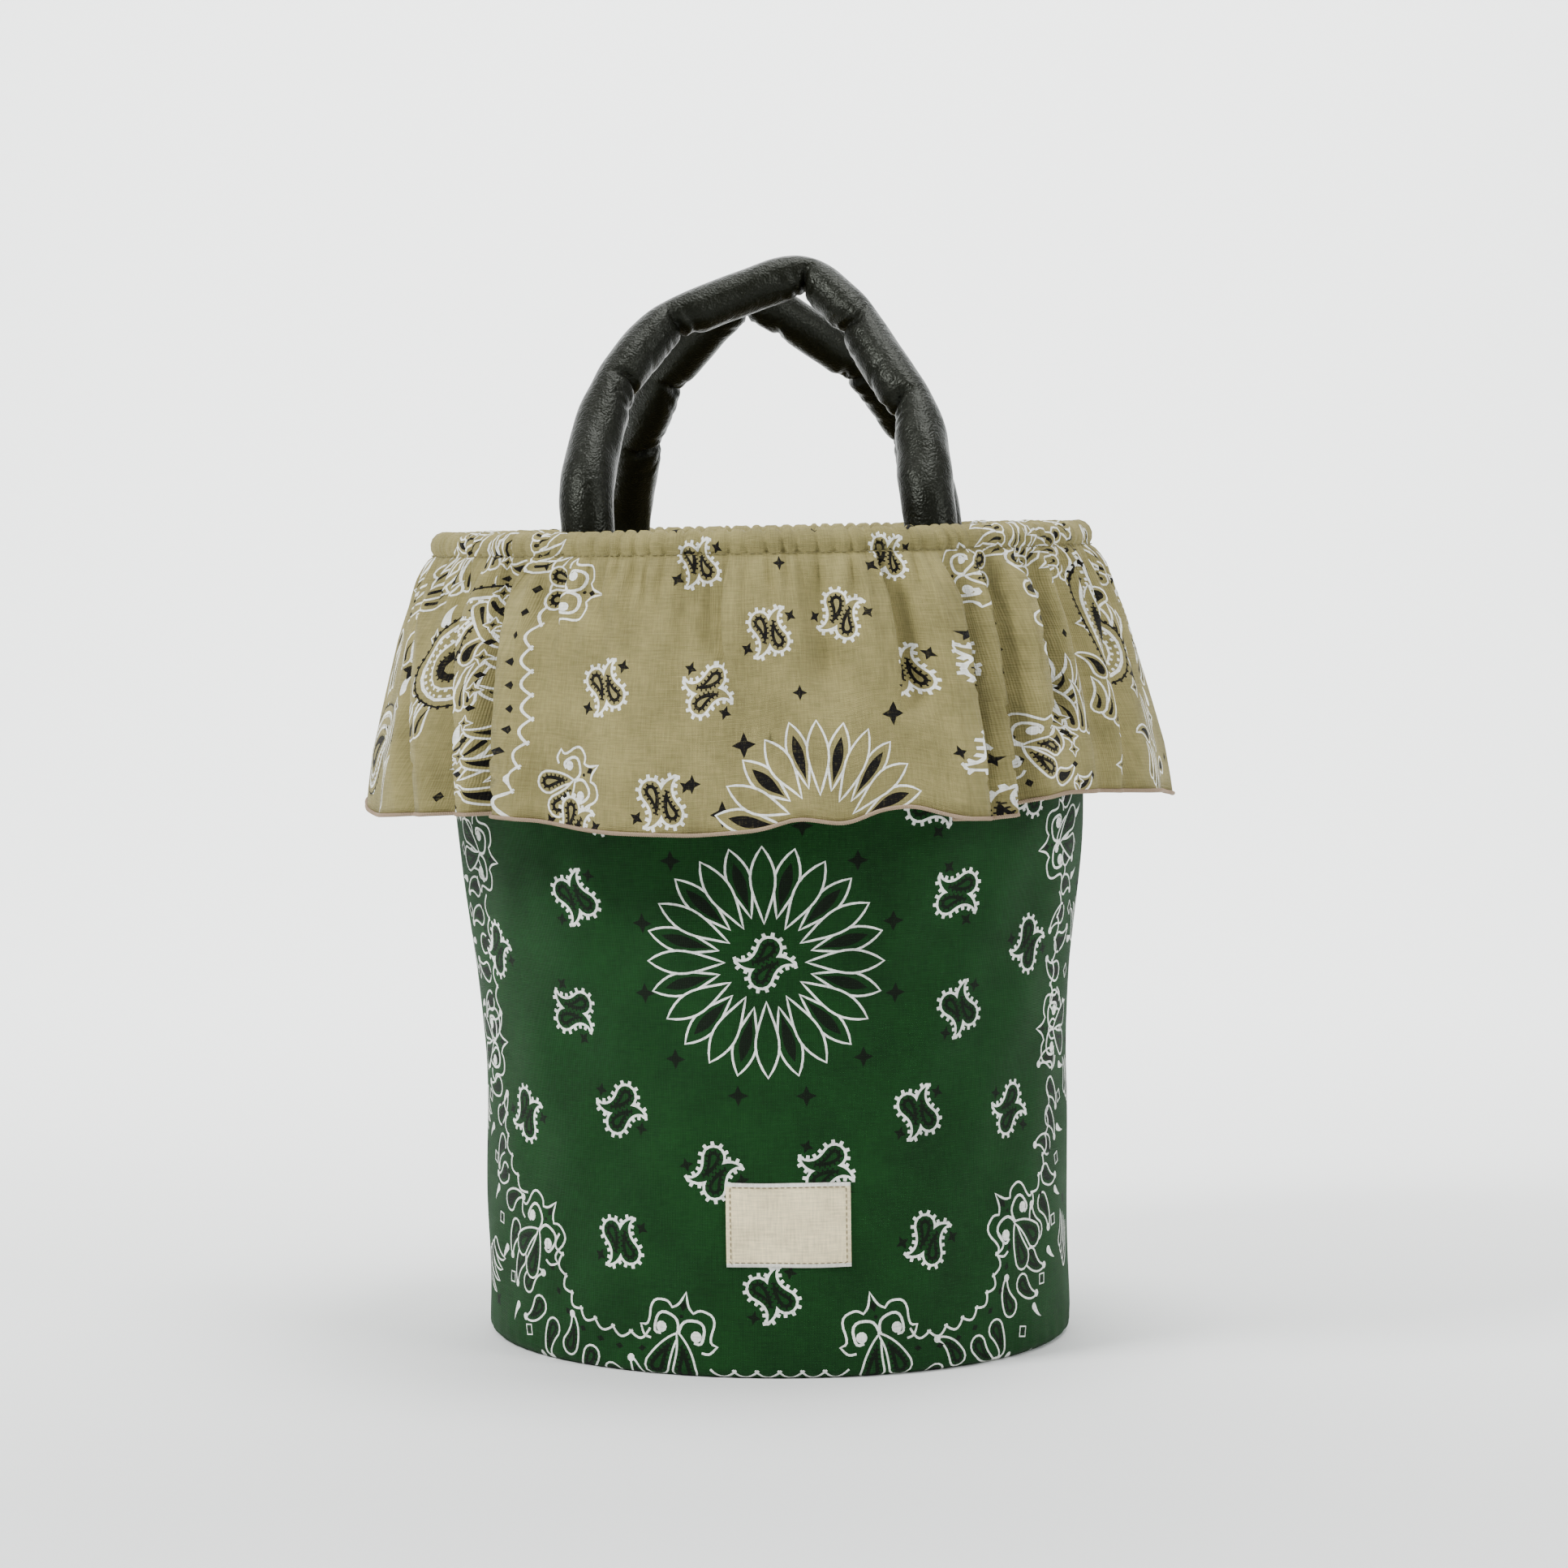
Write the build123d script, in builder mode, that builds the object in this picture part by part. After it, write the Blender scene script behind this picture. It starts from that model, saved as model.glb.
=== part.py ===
from build123d import *
from math import cos, degrees, radians, sin, sqrt, tan
import os

os.makedirs("parts", exist_ok=True)

# A padded, free-standing bucket bag with a gathered skirt under a corded rim and two leather
# tube handles. Millimetres; +Z is up, the front faces -Y, and the origin is the middle of the
# underside.

# Body: an upright wall that flares to a shoulder and then rises to the rim.
base_radius = 130.5  # outer face of the cover at the floor
waist_height = 125.0  # the wall stands upright to here
body_flare = 11.0  # how much wider the cover is at the shoulder
shoulder_height = 235.0
rim_flare = 2.5  # how much wider again at the rim
wall_top = 349.0
edge_radius = 4.5  # the rounded seam round the base

# Layers of the wall and the base, from the outside in.
cover_thickness = 0.8
wadding_thickness = 4.0
lining_thickness = 0.8
board_thickness = 2.0
base_wadding_thickness = 3.0

# Rim: a cord in a casing whose cloth goes on outside as the skirt and inside as the facing.
cord_radius = 5.2
cloth_thickness = 0.8
facing_depth = 42.0
skirt_top_radius_gain = 4.6  # the gathers stand this far out from the wall under the rim
skirt_flare = 39.3  # from the wall at the rim to the hem
skirt_bulge = 4.7  # how far the skirt's line bows outwards
skirt_drop = 114.0
skirt_depth = 2.5  # room that the gathered cloth takes, front to back
skirt_tuck = 2.0  # the gathers start this far below the wall's top
seam_allowance = 1.2  # cloth above the wall's top, on its way into the casing
hem_roll = 1.6
hem_rounding = 1.0
thread_radius = 0.4
seam_angle = 40.0  # degrees below level, seen from the cord, where the thread lies on the casing

# Label, sewn flat on the front.
label_width = 53.0
label_height = 36.0
label_thickness = 0.8
label_low = 48.0
label_shift = 4.5  # its middle stands right of the bag's middle
label_seam_inset = 1.5
label_seam_width = 0.6
label_seam_height = 0.3

# Handles: stuffed leather tubes, flattened where they are sewn inside the rim.
handle_spacing = 146.0  # middle of one leg to middle of the other
handle_radius = 11.5
leather_thickness = 1.2
front_lean = 41.0  # degrees from upright, towards the other handle
back_lean = 43.6
handle_clearance = 0.3
knuckle_radius = handle_radius + 0.5
knuckle_height = wall_top + 24.0
neck_radius = 6.0
neck_length = 14.5  # from the knuckle's middle down to the stub
leg_start = 6.5  # the leg's end, from the knuckle's middle
stub_radius = 11.0
stub_length = 18.5
tab_width = 32.0
tab_thickness = 3.0
tab_length = 24.0
tab_to_stub = 20.0
tack_length = 3.0
tack_width = 0.6
tack_height = 0.5
tack_columns = 5
tack_rows = 2
tack_row_spacing = 16.0

# Routes of the two handles from left leg to right leg, as (sideways, along the lean) from the
# middle of the hinge line. Each has its highest point off the middle, on opposite sides.
half_spacing = handle_spacing / 2
front_route = [
    (-half_spacing, leg_start),
    (-half_spacing + 1, 34),
    (-half_spacing + 12, 68),
    (-half_spacing + 34, 103),
    (-8, 119),
    (18, 131),
    (half_spacing - 28, 105),
    (half_spacing - 7, 60),
    (half_spacing, 32),
    (half_spacing, leg_start),
]
back_route = [
    (-half_spacing, leg_start),
    (-half_spacing + 2, 32),
    (-half_spacing + 11, 66),
    (-half_spacing + 32, 104),
    (-17, 126),
    (8, 110),
    (half_spacing - 31, 78),
    (half_spacing - 10, 48),
    (half_spacing, 26),
    (half_spacing, leg_start),
]

arc_share = 0.45  # how much of the shorter run beside a corner its arc takes

# Sizes that follow from those above.
wall_thickness = cover_thickness + wadding_thickness + lining_thickness
shoulder_radius = base_radius + body_flare
wall_top_radius = shoulder_radius + rim_flare
rim_radius = wall_top_radius - wall_thickness / 2
cord_height = wall_top + cord_radius
casing_radius = cord_radius + cloth_thickness
hem_height = wall_top - skirt_drop
floor_radius = base_radius - wall_thickness
knuckle_reach = rim_radius - casing_radius - handle_clearance - knuckle_radius
knuckle_y = sqrt(knuckle_reach**2 - half_spacing**2)
FRONT, BACK = -1, 1


def cover_radius(height):
    """Radius of the cover's outer face at a height."""
    if height <= waist_height:
        return base_radius
    if height <= shoulder_height:
        return base_radius + body_flare * (height - waist_height) / (shoulder_height - waist_height)
    return shoulder_radius + rim_flare * (height - shoulder_height) / (wall_top - shoulder_height)


def wall_layer(outer_inset, inner_inset, low, high):
    """Corners of a layer of the wall, as (radius, height), between two insets and two heights."""
    bends = [bend for bend in (waist_height, shoulder_height) if low < bend < high]
    heights = [low, *bends, high]
    outer = [(cover_radius(height) - outer_inset, height) for height in heights]
    inner = [(cover_radius(height) - inner_inset, height) for height in reversed(heights)]
    return outer + inner


def half_turn(side):
    """Degrees that sweep a section from +X to -X round the front or the back."""
    return 180 * side


def finish(piece, name):
    """Labels a finished piece and writes its file."""
    piece.part.label = name
    export_step(piece.part, f"parts/{name}.step")


def cover_panel(side):
    """Half of the printed cover, turned in under the base by its rounded seam."""
    with BuildPart() as panel:
        with BuildSketch(Plane.XZ) as section:
            with BuildLine():
                Polyline(*wall_layer(0, cover_thickness, 0, wall_top), close=True)
            make_face()
            with Locations((floor_radius, 0)):
                Rectangle(wall_thickness, cover_thickness, align=Align.MIN)
            outer_corner = section.vertices().group_by(Axis.Y)[0].sort_by(Axis.X)[-1]
            fillet(outer_corner, edge_radius)
            inner_corner = section.vertices().sort_by_distance(
                (base_radius - cover_thickness, cover_thickness)
            )[0]
            fillet(inner_corner, edge_radius - cover_thickness)
        revolve(axis=Axis.Z, revolution_arc=half_turn(side))
    return panel


def wadding_panel(side):
    """Half of the padding inside the wall, resting in the cover's rounded seam."""
    with BuildPart() as panel:
        with BuildSketch(Plane.XZ) as section:
            with BuildLine():
                lining_inset = cover_thickness + wadding_thickness
                corners = wall_layer(cover_thickness, lining_inset, cover_thickness, wall_top)
                Polyline(*corners, close=True)
            make_face()
            outer_corner = section.vertices().group_by(Axis.Y)[0].sort_by(Axis.X)[-1]
            fillet(outer_corner, edge_radius - cover_thickness)
        revolve(axis=Axis.Z, revolution_arc=half_turn(side))
    return panel


def lining_panel(side):
    """Half of the lining of the wall."""
    with BuildPart() as panel:
        with BuildSketch(Plane.XZ):
            with BuildLine():
                lining_inset = cover_thickness + wadding_thickness
                corners = wall_layer(lining_inset, wall_thickness, cover_thickness, wall_top)
                Polyline(*corners, close=True)
            make_face()
        revolve(axis=Axis.Z, revolution_arc=half_turn(side))
    return panel


def base_disc(low, thickness):
    """One round layer of the base."""
    with BuildPart() as disc:
        with BuildSketch(Plane.XY.offset(low)):
            Circle(floor_radius)
        extrude(amount=thickness)
    return disc


def skirt_line(radius_shift):
    """The skirt's curve in section from under the rim to the hem, moved in by a shift."""
    top = (wall_top_radius + skirt_top_radius_gain - radius_shift, wall_top - skirt_tuck)
    hem = (wall_top_radius + skirt_flare - radius_shift, hem_height)
    middle = ((top[0] + hem[0]) / 2 + skirt_bulge, (top[1] + hem[1]) / 2)
    return top, middle, hem


def rim_cloth(side):
    """One cloth that is facing inside, casing over the cord and gathered skirt outside."""
    outer_top, outer_middle, outer_hem = skirt_line(0)
    inner_top, inner_middle, inner_hem = skirt_line(skirt_depth)
    seam_height = wall_top + seam_allowance
    with BuildPart() as cloth:
        with BuildSketch(Plane.XZ):
            with Locations((rim_radius, cord_height)):
                Circle(casing_radius)
            with BuildLine():
                facing_inset = wall_thickness + cloth_thickness
                facing_low = wall_top - facing_depth
                Polyline(*wall_layer(wall_thickness, facing_inset, facing_low, seam_height), close=True)
            make_face()
            with BuildLine():
                ThreePointArc(outer_top, outer_middle, outer_hem)
                Line(outer_hem, inner_hem)
                ThreePointArc(inner_hem, inner_middle, inner_top)
                Polyline(
                    inner_top,
                    (cover_radius(wall_top - skirt_depth), wall_top - skirt_depth),
                    (wall_top_radius, wall_top),
                    (wall_top_radius, seam_height),
                    outer_top,
                )
            make_face()
            with Locations((rim_radius, cord_height)):
                Circle(cord_radius, mode=Mode.SUBTRACT)
            with Locations((rim_radius, wall_top)):
                middle_and_up = (Align.CENTER, Align.MIN)
                Rectangle(wall_thickness, cord_radius, align=middle_and_up, mode=Mode.SUBTRACT)
            with BuildLine():
                Polyline(*wall_layer(0, wall_thickness, shoulder_height, wall_top), close=True)
            make_face(mode=Mode.SUBTRACT)
        revolve(axis=Axis.Z, revolution_arc=half_turn(side))
    return cloth


def hem_edging(side):
    """The thread that is wrapped over half of the skirt's raw edge."""
    with BuildPart() as edging:
        with BuildSketch(Plane.XZ) as section:
            with Locations((wall_top_radius + skirt_flare, hem_height)):
                Rectangle(skirt_depth, hem_roll, align=Align.MAX)
            fillet(section.vertices().group_by(Axis.Y)[0], hem_rounding)
        revolve(axis=Axis.Z, revolution_arc=half_turn(side))
    return edging


def label_band(low, high, width, inner, outer):
    """A patch of a cylinder on the front, as wide along its arc as asked."""
    shift_angle = degrees(label_shift / base_radius)
    width_angle = degrees(width / base_radius)
    start = radians(-90 + shift_angle - width_angle / 2)
    outwards = (cos(start), sin(start), 0)
    backwards = (sin(start), -cos(start), 0)
    start_plane = Plane(origin=(0, 0, 0), x_dir=outwards, z_dir=backwards)
    with BuildPart() as band:
        with BuildSketch(start_plane):
            with Locations((inner, low)):
                Rectangle(outer - inner, high - low, align=Align.MIN)
        revolve(axis=Axis.Z, revolution_arc=width_angle)
    return band


def corner_plane(side, hand, height):
    """A level plane on a knuckle's upright line, with its X pointing outwards."""
    foot = (hand * half_spacing, side * knuckle_y, height)
    return Plane(origin=foot, x_dir=(foot[0], foot[1], 0), z_dir=(0, 0, 1))


stub_top = knuckle_height - neck_length
stub_low = stub_top - stub_length
tab_top = stub_low - tab_to_stub
tab_low = tab_top - tab_length
facing_inner_radius = cover_radius(tab_low) - wall_thickness - cloth_thickness
tab_outer = sqrt(facing_inner_radius**2 - (tab_width / 2) ** 2) - handle_clearance
tab_offset = tab_outer - tab_thickness / 2 - knuckle_reach


def handle_root(side, hand):
    """The sewn end of a leg: a flattened tab, a round stub, and the knuckle that the leg bends on."""
    with BuildPart() as root:
        with BuildSketch(corner_plane(side, hand, tab_low)):
            with Locations((tab_offset, 0)):
                SlotOverall(tab_width, tab_thickness, rotation=90)
        extrude(amount=tab_length)
        with BuildSketch(corner_plane(side, hand, tab_top)):
            with Locations((tab_offset, 0)):
                SlotOverall(tab_width, tab_thickness, rotation=90)
        with BuildSketch(corner_plane(side, hand, stub_low)):
            Circle(stub_radius)
        loft()
        with BuildSketch(corner_plane(side, hand, stub_low)):
            Circle(stub_radius)
        extrude(amount=stub_length)
        with BuildSketch(corner_plane(side, hand, stub_top)):
            Circle(neck_radius)
        extrude(amount=neck_length)
        with Locations(corner_plane(side, hand, knuckle_height)):
            Sphere(knuckle_radius)
    return root


def tab_tacks(side):
    """Rows of stitches through both tabs of a handle, standing on the tabs' inner faces."""
    row_middle = tab_low + tab_length / 2
    with BuildPart() as tacks:
        for hand in (-1, 1):
            flat_face = corner_plane(side, hand, row_middle)
            tack_centre = tab_offset - tab_thickness / 2 - tack_height / 2
            with Locations(flat_face * Location((tack_centre, 0, 0))):
                with GridLocations(0, (tab_width - tab_thickness) / tack_columns, 1, tack_columns):
                    for row in range(tack_rows):
                        row_height = (row - (tack_rows - 1) / 2) * tack_row_spacing
                        with Locations((0, 0, row_height)):
                            Box(tack_height, tack_length, tack_width)
    return tacks


def lean_plane(side, lean):
    """The plane that a handle's arch lies in, from the middle of its hinge line."""
    tilt = radians(lean)
    up_the_arch = Vector(0, -side * sin(tilt), cos(tilt))
    hinge_middle = (0, side * knuckle_y, knuckle_height)
    return Plane(origin=hinge_middle, x_dir=(1, 0, 0), z_dir=Vector(1, 0, 0).cross(up_the_arch))


def corner_radii(points):
    """The largest even radius at each inner corner of a route."""
    radii = []
    for before, corner, after in zip(points, points[1:], points[2:]):
        run_in = Vector(*corner) - Vector(*before)
        run_out = Vector(*after) - Vector(*corner)
        half_bend = radians(run_in.get_angle(run_out)) / 2
        radii.append(arc_share * min(run_in.length, run_out.length) / tan(half_bend))
    return radii


def handle_sleeve(side, lean, route):
    """The leather tube of a handle's arch, hollowed over both knuckles."""
    with BuildPart() as sleeve:
        with BuildLine(lean_plane(side, lean)) as path:
            FilletPolyline(*route, radius=corner_radii(route))
        with BuildSketch(Plane(origin=path.line @ 0, z_dir=path.line % 0)):
            Circle(handle_radius)
            Circle(handle_radius - leather_thickness, mode=Mode.SUBTRACT)
        sweep()
        for hand in (-1, 1):
            with Locations(corner_plane(side, hand, knuckle_height)):
                Sphere(knuckle_radius + handle_clearance, mode=Mode.SUBTRACT)
    return sleeve


def handle_stuffing(side, lean, route):
    """The filling of a handle's tube, cut off level above both knuckles."""
    with BuildPart() as stuffing:
        with BuildLine(lean_plane(side, lean)) as path:
            FilletPolyline(*route, radius=corner_radii(route))
        with BuildSketch(Plane(origin=path.line @ 0, z_dir=path.line % 0)):
            Circle(handle_radius - leather_thickness)
        sweep()
        with Locations(lean_plane(side, lean)):
            end_clearance = knuckle_radius + 2 * handle_clearance
            Box(2 * handle_spacing, 2 * end_clearance, 4 * handle_radius, mode=Mode.SUBTRACT)
    return stuffing


for side, place in ((FRONT, "front"), (BACK, "back")):
    finish(cover_panel(side), f"cover_{place}")
    finish(wadding_panel(side), f"wadding_{place}")
    finish(lining_panel(side), f"lining_{place}")
    finish(rim_cloth(side), f"skirt_{place}")
    finish(hem_edging(side), f"hem_edging_{place}")

# The base, from the floor up.
base_layers = (
    ("cover_base", cover_thickness),
    ("base_board", board_thickness),
    ("wadding_base", base_wadding_thickness),
    ("lining_base", lining_thickness),
)
layer_low = 0
for layer, thickness in base_layers:
    finish(base_disc(layer_low, thickness), layer)
    layer_low += thickness

# The cord that keeps the rim round.
with BuildPart() as rim_cord:
    with BuildSketch(Plane.XZ):
        with Locations((rim_radius, cord_height)):
            Circle(cord_radius)
    revolve(axis=Axis.Z)
finish(rim_cord, "rim_cord")

# The thread under the casing, which holds cloth and wall together: one line outside, one inside.
with BuildPart() as rim_stitching:
    with BuildSketch(Plane.XZ):
        seam_reach = casing_radius + thread_radius
        with Locations((rim_radius, cord_height - seam_reach * sin(radians(seam_angle)))):
            with GridLocations(2 * seam_reach * cos(radians(seam_angle)), 0, 2, 1):
                Circle(thread_radius)
    revolve(axis=Axis.Z)
finish(rim_stitching, "rim_stitching")

label_face = base_radius + label_thickness
finish(label_band(label_low, label_low + label_height, label_width, base_radius, label_face), "label")

seam_low = label_low + label_seam_inset
seam_high = label_low + label_height - label_seam_inset
seam_outer_width = label_width - 2 * label_seam_inset
seam_top = label_face + label_seam_height
with BuildPart() as label_stitching:
    add(label_band(seam_low, seam_high, seam_outer_width, label_face, seam_top).part)
    hollow_low = seam_low + label_seam_width
    hollow_high = seam_high - label_seam_width
    hollow_width = seam_outer_width - 2 * label_seam_width
    hollow = label_band(hollow_low, hollow_high, hollow_width, label_face, seam_top)
    add(hollow.part, mode=Mode.SUBTRACT)
finish(label_stitching, "label_stitching")

handles = (
    (FRONT, "front", front_lean, front_route),
    (BACK, "back", back_lean, back_route),
)
for side, place, lean, route in handles:
    finish(handle_sleeve(side, lean, route), f"handle_sleeve_{place}")
    finish(handle_stuffing(side, lean, route), f"handle_stuffing_{place}")
    finish(tab_tacks(side), f"handle_tacks_{place}")
    for hand, hand_name in ((-1, "left"), (1, "right")):
        finish(handle_root(side, hand), f"handle_root_{place}_{hand_name}")
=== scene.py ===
import math

import bpy
import numpy as np
from bpy.props import FloatProperty, FloatVectorProperty, PointerProperty
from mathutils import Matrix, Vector
from mathutils.geometry import delaunay_2d_cdt


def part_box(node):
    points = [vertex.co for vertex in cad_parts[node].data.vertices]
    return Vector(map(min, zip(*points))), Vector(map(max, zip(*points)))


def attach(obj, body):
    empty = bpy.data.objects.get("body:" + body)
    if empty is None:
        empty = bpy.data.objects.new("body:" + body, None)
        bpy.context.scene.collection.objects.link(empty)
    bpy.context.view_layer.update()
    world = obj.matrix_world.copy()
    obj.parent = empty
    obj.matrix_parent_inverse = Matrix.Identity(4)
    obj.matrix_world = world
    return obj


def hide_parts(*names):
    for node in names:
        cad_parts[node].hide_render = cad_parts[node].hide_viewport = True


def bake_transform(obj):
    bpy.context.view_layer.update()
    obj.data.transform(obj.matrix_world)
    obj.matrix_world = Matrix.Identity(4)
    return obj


bl_info = {
    "name": "Padded Bucket Bag",
    "version": (1, 0, 0),
    "blender": (4, 5, 0),
    "location": "3D View > Sidebar > Bag",
    "description": "A padded bucket bag of printed cotton with a gathered skirt and leather tube handles",
    "category": "Object",
}

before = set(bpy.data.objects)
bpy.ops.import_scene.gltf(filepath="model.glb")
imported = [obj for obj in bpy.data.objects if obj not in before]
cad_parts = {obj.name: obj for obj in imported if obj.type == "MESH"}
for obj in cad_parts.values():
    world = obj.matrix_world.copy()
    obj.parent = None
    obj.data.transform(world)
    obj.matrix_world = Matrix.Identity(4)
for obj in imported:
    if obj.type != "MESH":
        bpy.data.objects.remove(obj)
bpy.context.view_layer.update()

# Lengths are millimetres and angles degrees, as a bag maker writes them; meshes are metres.
MM = 0.001
GROUND, WHITE, DARK, REVERSE = 0, 1, 2, 3
FRONT, BACK = -1, 1
PLACES = {FRONT: "front", BACK: "back"}


def reach(node, corner, axis):
    """One coordinate of a CAD node's box in millimetres; corner 0 is the lowest, 1 the highest."""
    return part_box(node)[corner][axis] / MM


# The body: its outer face at the floor, the rounded seam round the base and the wall's thickness.
BASE_RADIUS = 130.5
WALL_TOP = reach("cover_front", 1, 2)
EDGE_RADIUS = 4.5
WALL_LAYERS = 5.6
FLOOR_RADIUS = reach("base_board", 1, 0)

# The rim: the cord, the casing round it and the seam under the casing.
CORD_HEIGHT = (reach("rim_cord", 0, 2) + reach("rim_cord", 1, 2)) / 2
CORD_RADIUS = (reach("rim_cord", 1, 2) - reach("rim_cord", 0, 2)) / 2
RIM_RADIUS = reach("rim_cord", 1, 0) - CORD_RADIUS
CASING_RADIUS = CORD_RADIUS + 0.8
SEAM_ANGLE = math.radians(-38)
SEAM_HEIGHT = CORD_HEIGHT + CASING_RADIUS * math.sin(SEAM_ANGLE)

# The rim cloth as it was cut for each half, with its depth from the facing to the hem.
SKIRT_WIDTH = 600.0
MM_PER_DEGREE = SKIRT_WIDTH / 180.0
FACING_DEPTH = 42.0
CASING_DEPTH = 30.0
SKIRT_DEPTH = 118.0

# The middle of the body's print, right and up on the cloth.
PRINT_MIDDLE = -3 + 178j


# ---------------------------------------------------------------- small helpers


def linear(code):
    """A colour as three linear values, from its sRGB hex code."""
    values = [int(code[k:k + 2], 16) / 255 for k in (1, 3, 5)]
    return tuple(v / 12.92 if v <= 0.04045 else ((v + 0.055) / 1.055) ** 2.4 for v in values)


def step(value, low, high):
    """0 below low, 1 above high, and a smooth rise between."""
    share = np.clip((value - low) / (high - low), 0, 1)
    return share * share * (3 - 2 * share)


def through(points, places, blur):
    """Values of a smooth curve that passes near (place, value) points."""
    xs, ys = np.array(points, float).T
    fine = np.linspace(xs[0] - 4 * blur, xs[-1] + 4 * blur, 1200)
    spread = np.arange(-60, 61) * (fine[1] - fine[0])
    weight = np.exp(-((spread / blur) ** 2) / 2)
    smooth = np.convolve(np.pad(np.interp(fine, xs, ys), 60, "edge"), weight / weight.sum(), "valid")
    return np.interp(places, fine, smooth)


def sizes():
    return bpy.context.scene.bag_sizes


def colours():
    return bpy.context.scene.bag_colours


# ---------------------------------------------------------------- materials


def add(tree, kind, inputs=(), **settings):
    """Adds a node with its settings; inputs maps sockets to values or to other sockets."""
    node = tree.nodes.new(kind)
    for name, value in settings.items():
        setattr(node, name, value)
    for name, value in dict(inputs).items():
        if isinstance(value, bpy.types.NodeSocket):
            tree.links.new(value, node.inputs[name])
        else:
            node.inputs[name].default_value = value
    return node


def new_material(name):
    """An empty material with its shader, ready for the nodes that drive it."""
    material = bpy.data.materials.new(name)
    material.use_nodes = True
    tree = material.node_tree
    return material, tree, tree.nodes["Principled BSDF"]


def cotton(name, colour, through_colour=None, pitch=0.75, sheen=0.03, relief=0.2):
    """Plain-woven cotton: matt, with slubs along both thread directions and a little lint.

    Real threads are 0.35 mm apart; they are drawn at the given pitch so that they show. Ink
    lets the ground through where it has missed the hollows between threads.
    """
    material, tree, shader = new_material(name)
    cloth = add(tree, "ShaderNodeUVMap", uv_map="cloth").outputs["UV"]
    wave_scale = math.pi / 10 / (pitch * MM)
    threads = [
        add(tree, "ShaderNodeTexWave", {
            "Vector": cloth, "Scale": wave_scale, "Distortion": 1.2, "Detail": 1.0,
            "Detail Scale": 0.6, "Detail Roughness": 0.5,
        }, bands_direction=direction).outputs["Fac"]
        for direction in ("X", "Y")
    ]
    weave = add(tree, "ShaderNodeMath", {0: threads[0], 1: threads[1]}, operation="ADD").outputs[0]
    slubs = []
    for along, across in ((9.0, 0.8), (0.8, 9.0)):
        stretched = add(tree, "ShaderNodeMapping", {
            "Vector": cloth, "Scale": (1 / (along * MM), 1 / (across * MM), 1),
        }).outputs[0]
        slubs.append(add(tree, "ShaderNodeTexNoise", {
            "Vector": stretched, "Scale": 1.0, "Detail": 2.0, "Roughness": 0.6,
        }).outputs["Fac"])
    slub = add(tree, "ShaderNodeMath", {0: slubs[0], 1: slubs[1]}, operation="ADD").outputs[0]
    mottle = add(tree, "ShaderNodeTexNoise", {
        "Vector": cloth, "Scale": 1 / (28 * MM), "Detail": 3.0, "Roughness": 0.55,
    }).outputs["Fac"]
    unevenness = add(tree, "ShaderNodeMath", {0: slub, 1: 0.7, 2: mottle}, operation="MULTIPLY_ADD")
    shade = add(tree, "ShaderNodeMapRange", {
        "Value": unevenness.outputs[0], "From Min": 0.9, "From Max": 1.5, "To Min": 0.72, "To Max": 1.28,
    }).outputs[0]
    dyed = add(tree, "ShaderNodeHueSaturation", {"Color": (*colour, 1), "Value": shade}).outputs[0]
    if through_colour is not None:
        hollow = add(tree, "ShaderNodeMapRange", {
            "Value": slub, "From Min": 0.55, "From Max": 0.95, "To Min": 0.70, "To Max": 1.0,
        }).outputs[0]
        dyed = add(tree, "ShaderNodeMix", {
            "Factor": hollow, "A": (*through_colour, 1), "B": dyed,
        }, data_type="RGBA").outputs["Result"]
    height = add(tree, "ShaderNodeMath", {0: slub, 1: 0.9, 2: weave}, operation="MULTIPLY_ADD").outputs[0]
    bump = add(tree, "ShaderNodeBump", {
        "Height": height, "Strength": 0.55, "Distance": relief * MM,
    }).outputs[0]
    tree.links.new(dyed, shader.inputs["Base Color"])
    tree.links.new(bump, shader.inputs["Normal"])
    shader.inputs["Roughness"].default_value = 0.88
    shader.inputs["Specular IOR Level"].default_value = 0.12
    shader.inputs["Sheen Weight"].default_value = sheen
    shader.inputs["Sheen Roughness"].default_value = 0.6
    return material


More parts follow.
